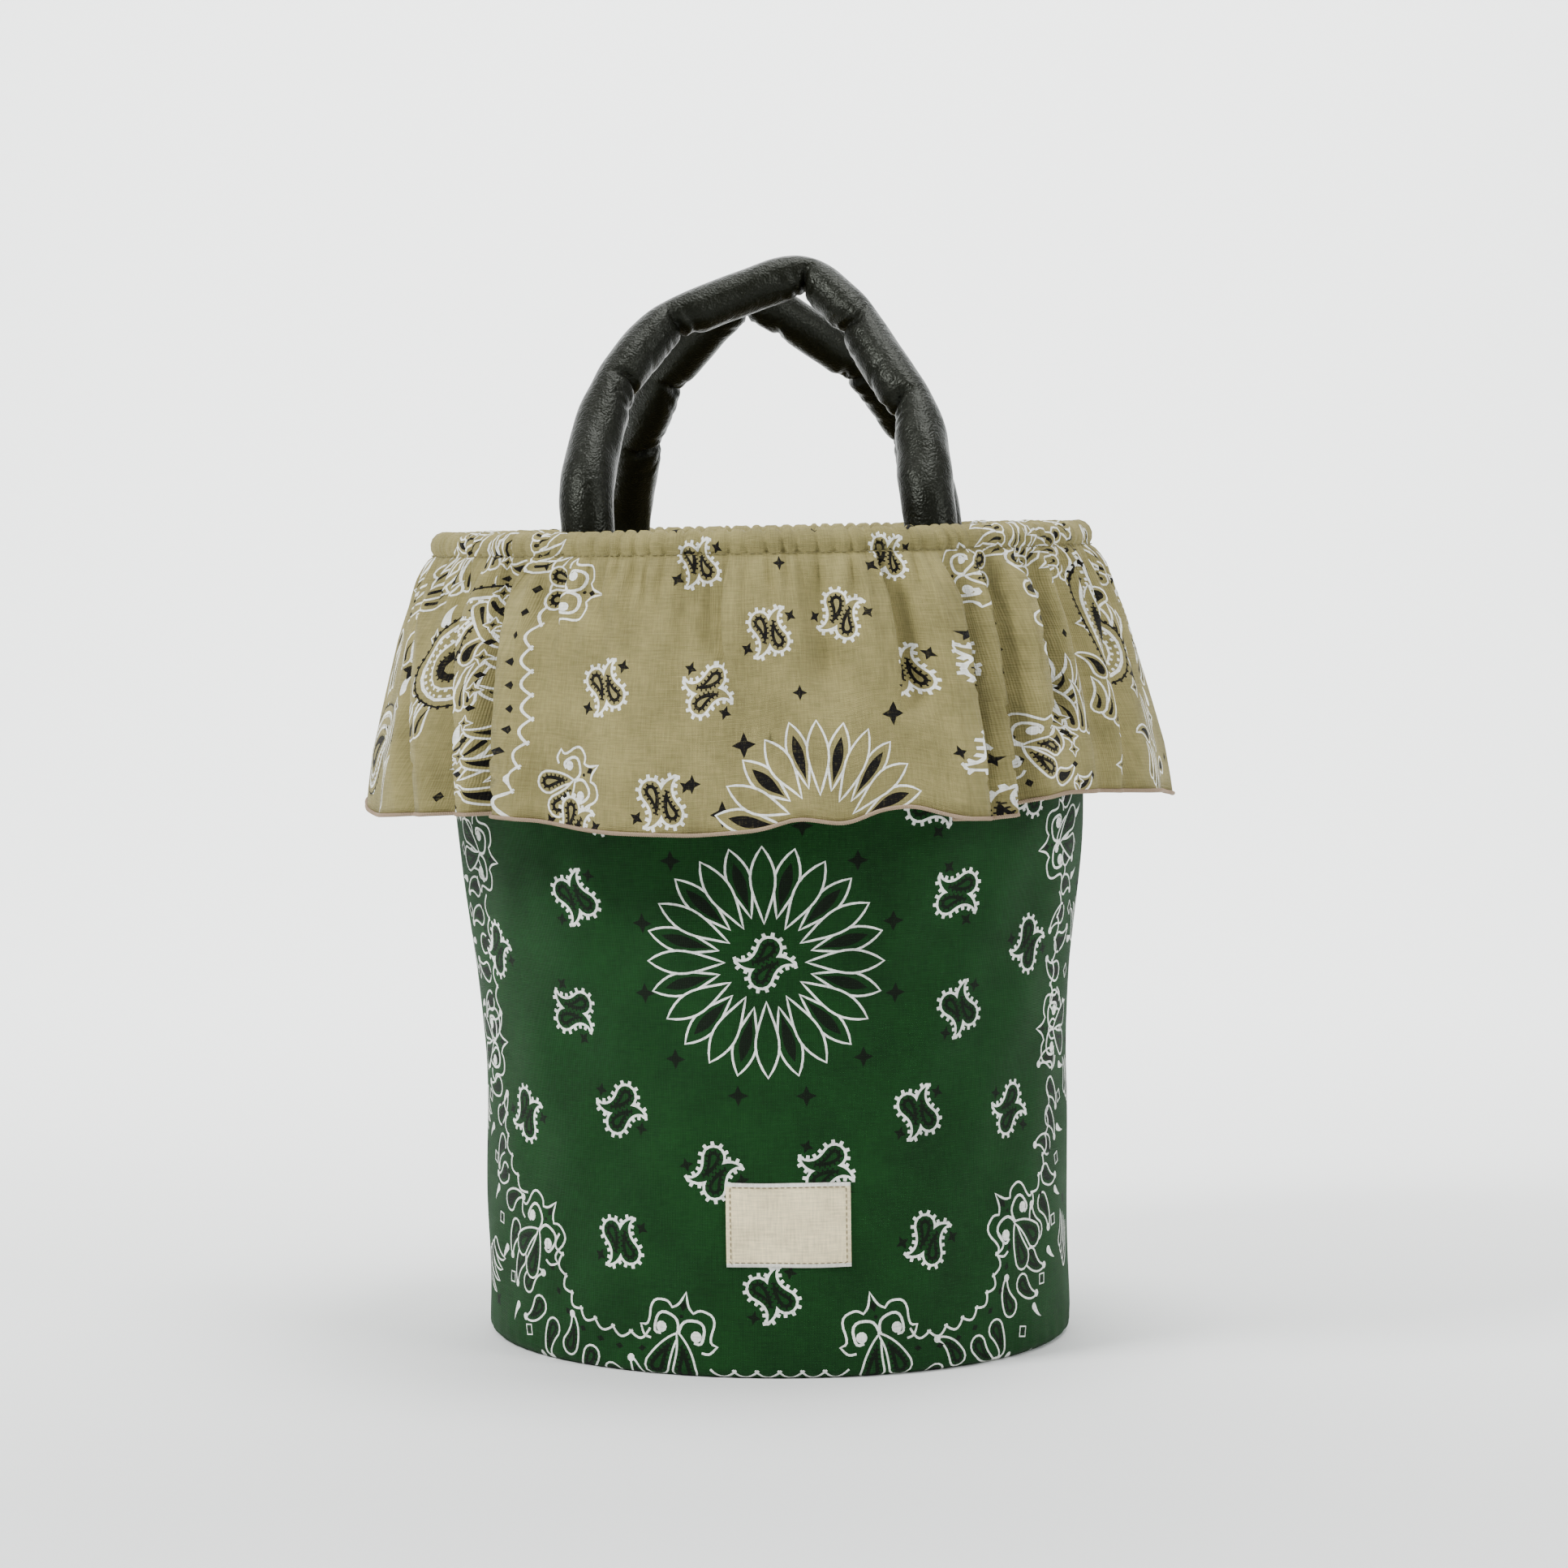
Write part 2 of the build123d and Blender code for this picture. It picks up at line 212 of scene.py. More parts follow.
def leather():
    """Soft glazed lambskin: fine pebbled grain of about 0.9 mm, stretch marks and a satin gloss."""
    material, tree, shader = new_material("satin lambskin leather")
    place = add(tree, "ShaderNodeTexCoord").outputs["Object"]
    grain = add(tree, "ShaderNodeTexVoronoi", {
        "Vector": place, "Scale": 1 / (0.9 * MM), "Randomness": 1.0,
    }, feature="SMOOTH_F1").outputs["Distance"]
    marks = add(tree, "ShaderNodeTexNoise", {
        "Vector": place, "Scale": 1 / (5 * MM), "Detail": 4.0, "Roughness": 0.62, "Distortion": 1.4,
    }).outputs["Fac"]
    patches = add(tree, "ShaderNodeTexNoise", {
        "Vector": place, "Scale": 1 / (30 * MM), "Detail": 3.0,
    }).outputs["Fac"]
    height = add(tree, "ShaderNodeMath", {0: marks, 1: 1.6, 2: grain}, operation="MULTIPLY_ADD").outputs[0]
    bump = add(tree, "ShaderNodeBump", {
        "Height": height, "Strength": 0.55, "Distance": 0.5 * MM,
    }).outputs[0]
    shade = add(tree, "ShaderNodeMapRange", {
        "Value": patches, "From Min": 0.3, "From Max": 0.7, "To Min": 0.85, "To Max": 1.2,
    }).outputs[0]
    hide = add(tree, "ShaderNodeHueSaturation", {
        "Color": (*colours().leather, 1), "Value": shade,
    }).outputs[0]
    gloss = add(tree, "ShaderNodeMapRange", {
        "Value": marks, "From Min": 0.3, "From Max": 0.75, "To Min": 0.27, "To Max": 0.42,
    }).outputs[0]
    tree.links.new(hide, shader.inputs["Base Color"])
    tree.links.new(bump, shader.inputs["Normal"])
    tree.links.new(gloss, shader.inputs["Roughness"])
    shader.inputs["Specular IOR Level"].default_value = 0.18
    shader.inputs["Specular Tint"].default_value = (0.94, 1.0, 0.88, 1)
    return material


def fibre(name, colour, scale=1.2, roughness=0.9, relief=0.5, stretch=(1, 1, 1)):
    """Thread, felted wadding, rope or board: matt fibres of the given width in millimetres."""
    material, tree, shader = new_material(name)
    place = add(tree, "ShaderNodeTexCoord").outputs["Object"]
    turned = add(tree, "ShaderNodeMapping", {"Vector": place, "Scale": stretch}).outputs[0]
    strands = add(tree, "ShaderNodeTexNoise", {
        "Vector": turned, "Scale": 1 / (scale * MM), "Detail": 4.0, "Roughness": 0.65,
    }).outputs["Fac"]
    bump = add(tree, "ShaderNodeBump", {
        "Height": strands, "Strength": 0.6, "Distance": relief * MM,
    }).outputs[0]
    shade = add(tree, "ShaderNodeMapRange", {
        "Value": strands, "From Min": 0.25, "From Max": 0.75, "To Min": 0.82, "To Max": 1.12,
    }).outputs[0]
    tint = add(tree, "ShaderNodeHueSaturation", {"Color": (*colour, 1), "Value": shade}).outputs[0]
    tree.links.new(tint, shader.inputs["Base Color"])
    tree.links.new(bump, shader.inputs["Normal"])
    shader.inputs["Roughness"].default_value = roughness
    shader.inputs["Specular IOR Level"].default_value = 0.3
    return material


# ---------------------------------------------------------------- print on the cloth


def offset(path, distance, closed=True):
    """A path moved to its left by a distance."""
    tangent = np.roll(path, -1) - np.roll(path, 1) if closed else np.gradient(path)
    return path + 1j * tangent / np.maximum(abs(tangent), 1e-6) * distance


def spaced(path, count, closed=True):
    """Points at even steps along a path."""
    loop = np.append(path, path[0]) if closed else path
    run = np.concatenate([[0], np.cumsum(abs(np.diff(loop)))])
    steps = np.linspace(0, run[-1], count + closed)[:count]
    return np.interp(steps, run, loop.real) + 1j * np.interp(steps, run, loop.imag)


def comma(length, width, bend=0.0, heading=0.0, taper=1.0, points=13):
    """A drop with its round end at 0 and a tip that curls by bend, as a closed outline."""
    along = np.linspace(0, 1, points) ** 1.2
    turn = np.radians(heading + bend * along**1.5)
    middle = (along[1:] + along[:-1]) / 2
    steps = np.diff(along) * length * np.exp(1j * np.radians(heading + bend * middle**1.5))
    spine = np.concatenate([[0], np.cumsum(steps)])
    half = width / 2 * (1 - along**taper)
    normal = 1j * np.exp(1j * turn)
    cap = np.linspace(math.pi / 2, 3 * math.pi / 2, points // 2 + 2)[1:-1]
    left, right = spine + normal * half, spine - normal * half
    start = width / 2 * np.exp(1j * (cap + turn[0]))
    return np.concatenate([right, left[-2::-1], start])


def rounded(path):
    """A path with its corners cut twice, between the same two ends."""
    for _ in range(2):
        first, second = path[:-1], path[1:]
        cut = np.column_stack([0.75 * first + 0.25 * second, 0.25 * first + 0.75 * second]).ravel()
        path = np.concatenate([path[:1], cut[1:-1], path[-1:]])
    return path


def lens(length, width, points=11, power=1.27):
    """A pointed petal from 0 along +x, widest past its middle."""
    along = np.linspace(0, 1, points)
    half = width / 2 * np.sin(math.pi * along**power)
    return np.concatenate([along * length - 1j * half, (along * length + 1j * half)[-2:0:-1]])


def star(size, points=4, waist=0.42):
    """A star whose sides bow inwards."""
    turn = np.arange(points * 4) * math.pi / (points * 2)
    arm = np.tile([1, 0.56, waist, 0.56], points) * size / 2
    return arm * np.exp(1j * (turn + math.pi / 2))


def disc(radius, points=10):
    return radius * np.exp(2j * math.pi * np.arange(points) / points)


def spin(degrees):
    return np.exp(1j * math.radians(degrees))


DIAMOND = np.array([2.2, 1.5j, -2.2, -1.5j])
SQUARE = np.array([1 + 1j, -1 + 1j, -1 - 1j, 1 - 1j]) * 1.9


class Print:
    """Ink shapes on a cloth in millimetres, where a later shape covers an earlier one."""

    def __init__(self):
        self.shapes = []

    def fill(self, ink, outline, at=0j, turn=0.0, size=1.0):
        self.shapes.append((ink, at + np.asarray(outline) * size * spin(turn)))

    def line(self, ink, path, width, at=0j, turn=0.0, size=1.0):
        """An open line with square ends."""
        half = width / 2 / size
        band = np.concatenate([offset(path, -half, False), offset(path, half, False)[::-1]])
        self.fill(ink, band, at, turn, size)

    def ring(self, ink, outline, width, at=0j, turn=0.0, size=1.0, inside=GROUND):
        """A closed line, and what it encloses."""
        self.fill(ink, offset(outline, -width / size), at, turn, size)
        self.fill(inside, outline, at, turn, size)

    def teeth(self, ink, outline, pitch, width, height, at=0j, turn=0.0, size=1.0):
        """Square teeth standing out of a closed outline."""
        outline = outline * size * spin(turn) + at
        count = max(3, round(abs(np.diff(np.append(outline, outline[0]))).sum() / pitch))
        dense = spaced(outline, count * 6)
        side = np.roll(dense, -1) - np.roll(dense, 1)
        side = side / np.maximum(abs(side), 1e-6)
        for k in range(0, count * 6, 6):
            out = -1j * side[k]
            foot, top = dense[k] - out * 0.25, dense[k] + out * height
            half = side[k] * width / 2
            tooth = np.array([foot - half, top - half * 0.85, top + half * 0.85, foot + half])
            self.shapes.append((ink, tooth[::-1]))

    def seed(self, at, turn, size, bend=-70.0, fine=True):
        """The dark drop inside a paisley; a fine one has small teeth and a clear core."""
        inner = comma(10.5, 5.4, bend * 0.7, taper=1.2, points=9)
        self.fill(DARK, inner, at, turn, size)
        if fine:
            self.teeth(DARK, inner, 2.1, 0.85, 0.9, at, turn, size)
            self.fill(GROUND, comma(5.4, 2.4, bend * 0.4, taper=1.3, points=7), at, turn, size)

    def drop(self, at, turn, size, bend=-70.0, tooth=1.1, fine=True):
        """A paisley drop: white toothed outline and a dark toothed seed."""
        outer = comma(15.0, 8.4, bend, taper=1.15)
        grown = offset(outer, -0.9 / size)
        self.fill(WHITE, grown, at, turn, size)
        if tooth:
            self.teeth(WHITE, grown, 2.7, 1.25, tooth, at, turn, size)
        self.fill(GROUND, outer, at, turn, size)
        self.seed(at, turn, size, bend, fine)

    def pair(self, at, turn=0.0, size=1.0, stars=True):
        """Two paisley drops head to tail, with a small star on each side."""
        bulb, heading, bend = 1.6 + 6.3j, -117.0, -95.0
        outer = comma(16.5, 8.6, bend, taper=1.35)
        grown = offset(outer, -1.1 / size)
        halves = [
            (at + bulb * half * size * spin(turn), turn + heading + 90 - 90 * half) for half in (1, -1)
        ]
        for centre, facing in halves:
            self.fill(WHITE, grown, centre, facing, size)
            self.teeth(WHITE, grown, 3.4, 1.65, 1.5, centre, facing, size)
            self.fill(WHITE, disc(1.5), centre + outer[12] * size * spin(facing))
        for centre, facing in halves:
            self.fill(GROUND, outer, centre, facing, size)
        for centre, facing in halves:
            self.seed(centre, facing, size, bend * 0.8)
        if stars:
            for side in (1, -1):
                self.fill(DARK, star(6.4), at + side * (11.0 - 6.0j) * size * spin(turn), turn)

    def rosette(self, at, radius, petals=12):
        """The middle flower: outlined petals, and dark-filled ones that show between them."""
        for k in range(petals):
            turn = 360 * (k + 0.5) / petals + 90
            behind = lens(radius * 0.60, radius * 0.18)
            root = at + radius * 0.41 * spin(turn)
            self.ring(WHITE, behind, 0.95, root, turn)
            self.fill(DARK, lens(radius * 0.43, radius * 0.10), root + 0.06 * radius * spin(turn), turn)
        for k in range(petals):
            turn = 360 * k / petals + 90
            petal = lens(radius * 0.65, radius * 0.185)
            self.ring(WHITE, petal, 0.95, at + radius * 0.35 * spin(turn), turn)

    def scallops(self, cusps, side, bulge=3.2, width=1.0):
        """A line of arcs from cusp to cusp that bulge to one side, with a diamond behind each."""
        share = np.linspace(-0.08, 1.08, 9)
        for start, end in zip(cusps, cusps[1:]):
            chord = end - start
            out = 1j * side * chord / abs(chord)
            self.line(WHITE, start + chord * share + out * bulge * np.sin(math.pi * share), width)
            turn = math.degrees(np.angle(chord))
            self.fill(DARK, DIAMOND * 0.9, start + chord / 2 + out * (bulge + 4.2), turn)

    def palmette(self, at, turn, size=1.0):
        """A fan on the edge of the field: a pointed crown over two curls and two hanging drops."""
        hook = rounded(np.array([-12.6 - 6.4j, -16.4 - 6.4j, -19.0 - 1.8j]))
        shoulder = rounded(np.array([
            -19.0 - 1.8j, -14.8 - 1.0j, -16.2 + 10.8j, -8.4 + 13.0j, -5.2 + 10.2j,
        ]))
        peak = rounded(np.array([-5.2 + 10.2j, -2.2 + 12.4j, 18.8j]))
        crown = np.concatenate([hook, shoulder[1:], peak[1:]])
        self.line(WHITE, np.concatenate([crown, -crown[-2::-1].conjugate()]), 1.0, at, turn, size)
        curl = rounded(np.array([-0.5j, -1.4 + 6.4j, -11.6 + 7.6j, -12.2 - 3.2j, -8.2 - 2.8j]))
        for half in (curl, -curl.conjugate()):
            self.line(WHITE, half, 1.2, at, turn, size)
        for across in (-8.6, 8.6):
            self.fill(WHITE, disc(2.6), at + (across + 0.1j) * size * spin(turn), 0, size)
        for foot, heading, bend in ((-6.8 - 17.5j, 78.0, -28.0), (6.8 - 17.5j, 102.0, 28.0)):
            self.drop(at + foot * size * spin(turn), heading + turn, 1.25 * size, bend, tooth=0)
        self.fill(DARK, DIAMOND * 1.15, at + 12.3j * size * spin(turn), turn + 90, size)
        self.fill(DARK, disc(0.9), at + 7.4j * size * spin(turn), 0, size)

    def swirl(self, at, turn, size=1.0, bend=50.0):
        """A sheaf of curved white leaves with a dark vein in each."""
        for k in range(4):
            leaf = comma(26 - 3 * k, 5.5, bend, taper=1.6, points=8)
            root, heading = at + (5.6j * k - 8j) * size * spin(turn), turn + 9 * k - 14
            self.ring(WHITE, leaf, 0.9, root, heading, size)
            self.fill(DARK, comma(15 - 2 * k, 1.7, bend, taper=1.6, points=6), root, heading, size)

    def paisley(self, at, turn, size=1.0, bend=-80.0):
        """A large drop of 75 mm with a toothed white band, a leaf spray and a dark core."""
        outer = comma(60, 34, bend, taper=1.25, points=19)
        self.ring(DARK, outer, 0.8, at, turn, size)
        self.teeth(DARK, outer, 3.4, 1.3, 1.6, at, turn, size)
        band = comma(50, 27, bend * 0.92, taper=1.25, points=17)
        self.ring(WHITE, band, 1.4, at, turn, size)
        self.teeth(WHITE, band, 3.4, 1.5, -1.3, at, turn, size)
        self.drop(at, turn, 2.1 * size, bend * 0.7)
        for k in range(5):
            self.fill(DARK, star(4.5), at + (20 + 7 * k) * spin(turn + bend * 0.11 * k) * size, 0)


def green_print():
    """Bandana print of the body: field of paisley pairs round a rosette, in a scalloped border."""
    ink = Print()
    border_drops(ink, PRINT_MIDDLE)
    left = [-58 - 159j, -67 - 160.5j, -76 - 159j, -85 - 156.5j, -93 - 153j, -99 - 147j, -103 - 140j,
            -105 - 131j, -107 - 123j]
    left_upper = [-131 - 107j, -138 - 100j, -146 - 85j, -149 - 65j]
    side = [-150 - 28j, -150 - 18j, -150 - 8j, -150 + 2j, -150 + 12j, -150 + 22j]
    top = [-149 + 62j, -146 + 85j, -138 + 100j, -131 + 107j]
    for run in (left, left_upper, side, top):
        cusps = np.array(run) + PRINT_MIDDLE.imag * 1j
        if len(run) == 4:
            cusps = spaced(cusps, 6, False)
        ink.scallops(cusps, 1)
        ink.scallops(-cusps.conjugate(), -1)
    foot = np.linspace(-29, 29, 7) + 3j
    ink.scallops(foot, -1)
    palmettes = ((-44, 19, -13), (43, 19, 13), (-120, 56, -42), (117, 60, 42), (-150, 219, -100),
                 (146, 223, 100), (-163, 134, -85), (155, 140, 85))
    for across, up, turn in palmettes:
        ink.palmette(complex(across, up), turn, 0.95)
    pairs = ((-85, 204, 80), (80, 205, -38), (-144, 177, 10), (125, 180, 15), (-93, 154, -40),
             (84, 155, 80), (-128, 106, 25), (116, 109, -10), (-70, 113, -10), (63, 112, 70),
             (-27, 88, 15), (21, 90, -20), (-71, 56, 60), (67, 57, 30), (-3, 36, 80),
             (-70, 244, 20), (67, 244, -50), (-128, 250, -20), (119, 247, 40))
    for across, up, turn in pairs:
        ink.pair(complex(across, up), turn)
    stars = ((-40, 221), (35, 221), (-54, 194), (50, 195), (-55, 164), (52, 164), (-43, 136), (38, 137),
             (-16, 121), (13, 121), (-16, 236), (13, 236))
    for across, up in stars:
        ink.fill(DARK, star(9.0), complex(across, up))
    ink.rosette(PRINT_MIDDLE, 49.0)
    ink.pair(PRINT_MIDDLE, -3, stars=False)
    return ink.shapes


def border_drops(ink, middle):
    """The band between the field's scallops and the cloth's edge."""
    quarter = np.array([158 + 0j, 158 + 30j, 156 + 60j, 152 + 85j, 146 + 108j, 138 + 128j, 129 + 144j,
                        118 + 155j, 107 + 165j, 95 + 170.4j, 84 + 173j, 66 + 184j, 40 + 192j, 192j])
    half = np.concatenate([quarter, -quarter[-2::-1].conjugate()])
    ring = np.concatenate([half, half[-2:0:-1].conjugate()])
    for k, point in enumerate(spaced(ring, 92) + middle):
        out = math.degrees(np.angle(point - middle))
        turn = out + 180 if k % 3 == 1 else out
        bend = (-1) ** (k // 2) * 60.0
        tip = comma(15.0, 8.4, bend, taper=1.15)[12]
        ink.drop(point, turn, 0.95, bend, tooth=0, fine=point.imag < 60)
        ink.fill(WHITE, disc(1.7), point + 0.95 * tip * spin(turn))
        beyond = point + 15 * spin(out)
        if k % 2:
            ink.ring(WHITE, SQUARE, 0.8, beyond, out + 45)
            ink.fill(DARK, SQUARE * 0.5, beyond, out + 45)
        else:
            ink.fill(WHITE, comma(9, 3.4, 30), beyond, out)
    for k, point in enumerate(spaced(ring * 1.2, 60) + middle):
        out = math.degrees(np.angle(point - middle))
        if k % 3 == 0:
            ink.swirl(point, out + 80, 0.8, 60)
        elif k % 3 == 1:
            ink.fill(DARK, star(8.0), point, out)


def khaki_print():
    """Bandana print of the skirt: the edge of the field in front, border figures at the sides."""
    ink = Print()

    def spot(azimuth, height):
        return complex(azimuth * MM_PER_DEGREE, (height - SEAM_HEIGHT) * 1.055)

    for k in range(44):
        side, column, row = (-1, 1)[k % 2], (k // 2) % 4, k // 8
        point = spot(side * (49 + 11 * column), 242 + 21 * row + 8 * (column % 2))
        if (column + row) % 3 == 0:
            ink.drop(point, 60 * column + 25 * row, 0.8, 70.0 * side, tooth=0, fine=False)
            ink.fill(DARK, DIAMOND, point + side * 11 + 4j, 90)
        elif (column + row) % 3 == 1:
            ink.ring(WHITE, star(8.0), 0.9, point)
            ink.fill(DARK, star(4.0), point)
            ink.fill(WHITE, comma(9, 4, 40 * side), point + 4 + 7j, 100)
        else:
            ink.swirl(point, 80 - 30 * side, 0.85, 60 * side)
    for az, height, turn in ((-56, 300, 70), (66, 302, 120), (-84, 262, 40), (86, 318, 60)):
        ink.paisley(spot(az, height), turn)
    for az, height, turn, bend in (
        (-47, 330, -60, 50), (-44, 268, 250, -50), (-66, 335, 20, 50), (-72, 262, 100, 50),
        (50, 335, 190, -50), (51, 268, 80, 50), (58, 345, 170, 40), (76, 262, 60, 50),
        (77, 340, 150, -50), (-80, 330, 20, 50), (-40, 352, 10, 40), (-60, 358, 30, 40),
        (44, 357, 170, 40), (66, 362, 150, -40),
    ):
        ink.swirl(spot(az, height), turn, 0.95, bend)
    for side, edge in ((-1, -36), (1, 38)):
        for k in range(8):
            point = spot(edge + side * 7.0, 246 + 14 * k)
            ink.drop(point, 180 * (side < 0) + 12 * (k % 3), 0.85, 60.0 * side, tooth=0, fine=False)
            ink.fill(DARK, DIAMOND, point + side * (12 + 5j))
            ink.ring(WHITE, star(6.5), 0.6, point + side * (13 - 3j))
            ink.fill(DARK, star(2.6), point + side * (13 - 3j))
        cusps = [spot(edge, 240), spot(edge - side * 1.5, 276), spot(edge, 310), spot(edge - side, 349)]
        ink.scallops(spaced(np.array(cusps), 12, False), -side)
    for az, height, turn in ((-27, 257, -60), (-31, 334, -95), (35, 338, 95), (40, 262, 60)):
        ink.palmette(spot(az, height), turn, 0.8)
    pairs = ((1, 316, 60), (12, 322, 30), (-8, 294, -20), (-23, 295, 75), (-14, 251, 60), (-10, 346, 65),
             (21, 347, 50), (22, 297, 70), (30, 263, 20), (31, 303, -30), (-27, 240, 30), (33, 240, 60))
    for az, height, turn in pairs:
        ink.pair(spot(az, height), turn)
    stars = ((-3, 272, 11), (-6, 246, 11), (18, 278, 11), (5, 290, 7), (-10, 258, 8), (3, 345, 7),
             (-62, 270, 11), (-50, 350, 9), (72, 290, 11), (55, 300, 9), (-70, 300, 10))
    for az, height, size in stars:
        ink.fill(DARK, star(size), spot(az, height))
    ink.rosette(spot(7, 234), 47.0)
    for az, turn in ((-14, 20), (9, -30), (26, 50)):
        ink.fill(DARK, star(6.0), complex(az * MM_PER_DEGREE, 12), turn)
    for k in range(7):
        ink.pair(complex(-270 + 90 * k, 52), 70 - 40 * (k % 3), stars=False)
    return ink.shapes


# ---------------------------------------------------------------- cutting and placing cloth


def cut_cloth(name, border, inside, shapes, place, materials):
    """Cuts cloth along its border and its print, and lays the cut cloth in place.

    border is a closed outline, and the points inside it give the cloth its fineness. place turns
    cloth points into points in space.
    """
    points = [Vector((z.real, z.imag)) for z in border]
    faces = [list(range(len(points)))]
    points += [Vector((z.real, z.imag)) for z in inside]
    for _, outline in shapes:
        area = np.sum(outline.real * np.roll(outline.imag, -1) - np.roll(outline.real, -1) * outline.imag)
        ordered = outline[::-1] if area < 0 else outline
        faces.append(list(range(len(points), len(points) + len(ordered))))
        points += [Vector((float(z.real), float(z.imag))) for z in ordered]
    flat, _, triangles, _, _, origins = delaunay_2d_cdt(points, [], faces, 1, 1e-4, True)
    kept = [(tri, max(own)) for tri, own in zip(triangles, origins) if 0 in own]
    flat = np.array([tuple(v) for v in flat])
    used = np.unique(np.array([tri for tri, _ in kept]))
    order = np.zeros(len(flat), int)
    order[used] = np.arange(len(used))
    flat = flat[used]
    mesh = bpy.data.meshes.new(name)
    mesh.from_pydata((place(flat) * MM).tolist(), [], [[int(order[v]) for v in tri] for tri, _ in kept])
    inks = np.array([shapes[top - 1][0] if top else GROUND for _, top in kept], dtype=np.int32)
    mesh.polygons.foreach_set("material_index", inks)
    corner = np.empty(len(mesh.loops), dtype=np.int32)
    mesh.loops.foreach_get("vertex_index", corner)
    cloth = mesh.uv_layers.new(name="cloth")
    cloth.data.foreach_set("uv", (flat[corner] * MM).ravel().astype(np.float32))
    mesh.shade_smooth()
    mesh.update()
    for material in materials:
        mesh.materials.append(material)
    return link(name, mesh)


def cut_rectangle(name, across, along, shapes, place, materials):
    """Cuts a rectangle of cloth that is as fine as its two lists of distances."""
    inside = [complex(x, y) for y in along[1:-1] for x in across[1:-1]]
    return cut_cloth(name, rectangle(across, along), inside, shapes, place, materials)


def link(name, mesh):
    """Puts a mesh in the scene as a piece of that name."""
    piece = bpy.data.objects.new(name, mesh)
    bpy.context.scene.collection.objects.link(piece)
    return piece


def thicken(piece, thickness, last_material):
    """Gives a cloth its thickness on its reverse side."""
    solid = piece.modifiers.new("thickness", "SOLIDIFY")
    solid.thickness = thickness * MM
    solid.offset = -1
    solid.use_rim = True
    solid.material_offset = last_material
    return piece


def ticks(*spans):
    """Distances along one direction, from (start, end, about how far apart) spans."""
    rows = [np.linspace(a, b, max(2, round((b - a) / gap) + 1)) for a, b, gap in spans]
    return np.unique(np.round(np.concatenate(rows), 4))


def rectangle(across, along):
    """The outline of the rectangle that two lists of distances span."""
    low, high = across + 1j * along[0], across + 1j * along[-1]
    left, right = across[0] + 1j * along, across[-1] + 1j * along
    return np.concatenate([low[:-1], right[:-1], high[:0:-1], left[:0:-1]])


def settle(points):
    """The slight lean and tilt that the soft bag takes as it stands."""
    share = np.clip(points[:, 2], 0, None) / (CORD_HEIGHT + CASING_RADIUS)
    leaned = points.copy()
    leaned[:, 0] -= sizes().lean / MM * share**1.5
    leaned[:, 2] += sizes().tilt * points[:, 0] * share**2
    return leaned


def turned(radius, angle, height, side):
    """Points at a radius and an angle from the middle of the front or the back."""
    return np.column_stack([-side * radius * np.sin(angle), side * radius * np.cos(angle), height])


def cover_radius(height):
    """Radius of the cover's outer face at a height."""
    return 130.4 + 11.5 * step(height, 118.0, 262.0) + 1.5 * np.clip((height - 262.0) / 87.0, 0, 1)


def cover_section():
    """The cover's section: cloth distance, radius, height, and the way out as radius and height."""
    corner = np.radians(np.linspace(-90, 0, 13))
    arc = EDGE_RADIUS * (corner - corner[-1])
    wall = np.linspace(EDGE_RADIUS, WALL_TOP, 140)[1:]
    foot = BASE_RADIUS - EDGE_RADIUS
    distance = np.concatenate([[arc[0] + EDGE_RADIUS - 1.1], arc + EDGE_RADIUS, wall])
    radius = np.concatenate([[foot - 1.1], foot + EDGE_RADIUS * np.cos(corner), cover_radius(wall)])
    height = np.concatenate([[0.05], EDGE_RADIUS + (EDGE_RADIUS - 0.05) * np.sin(corner), wall])
    rise, run = np.gradient(height), np.gradient(radius)
    size = np.hypot(rise, run)
    return distance, radius, height, rise / size, -run / size


def relief(angle, height):
    """Soft unevenness of the padded wall, and the pull of its two side seams."""
    random = np.random.default_rng(11)
    bumps = np.zeros_like(height)
    for _ in range(16):
        around, up = random.integers(3, 20), random.uniform(-0.09, 0.09)
        bumps += random.uniform(0.08, 0.22) * np.sin(around * angle + up * height + random.uniform(0, 6.3))
    puckers = 0.35 * np.sin(68 * angle + 2 * np.sin(7 * angle)) * np.exp(-height / 9.0)
    from_middle = abs((angle + math.pi) % (2 * math.pi) - math.pi)
    from_seam = BASE_RADIUS * (from_middle - math.pi / 2)
    groove = 1.5 * np.exp(-((from_seam / 2.4) ** 2))
    quiet = step(height, 0, 14) * (1 - 0.7 * step(height, 325, 349))
    return (bumps * quiet + puckers - groove) * step(height, 0.0, 3.0)


def cover_place(side, inset=0.0):
    """Places cloth on the cover's face, or an inset inside it."""
    table = cover_section()

    def place(flat):
        radius, height, out_radius, out_height = (np.interp(flat[:, 1], table[0], row) for row in table[1:])
        angle = flat[:, 0] / BASE_RADIUS
        deeper = relief(angle + (math.pi if side == BACK else 0), height) - inset
        return settle(turned(radius + out_radius * deeper, angle, height + out_height * deeper, side))

    return place


# ---------------------------------------------------------------- rim cloth

# The skirt's section below the casing, as (radius, height).
SKIRT_LINE = ((147.3, 349.4), (149.0, 347.2), (151.6, 342), (154.4, 335), (157.7, 327), (160.8, 320),
              (163.4, 313), (165.8, 305), (170.0, 291), (174.2, 276), (178.0, 262), (180.4, 247),
              (182.3, 232), (183.6, 218))

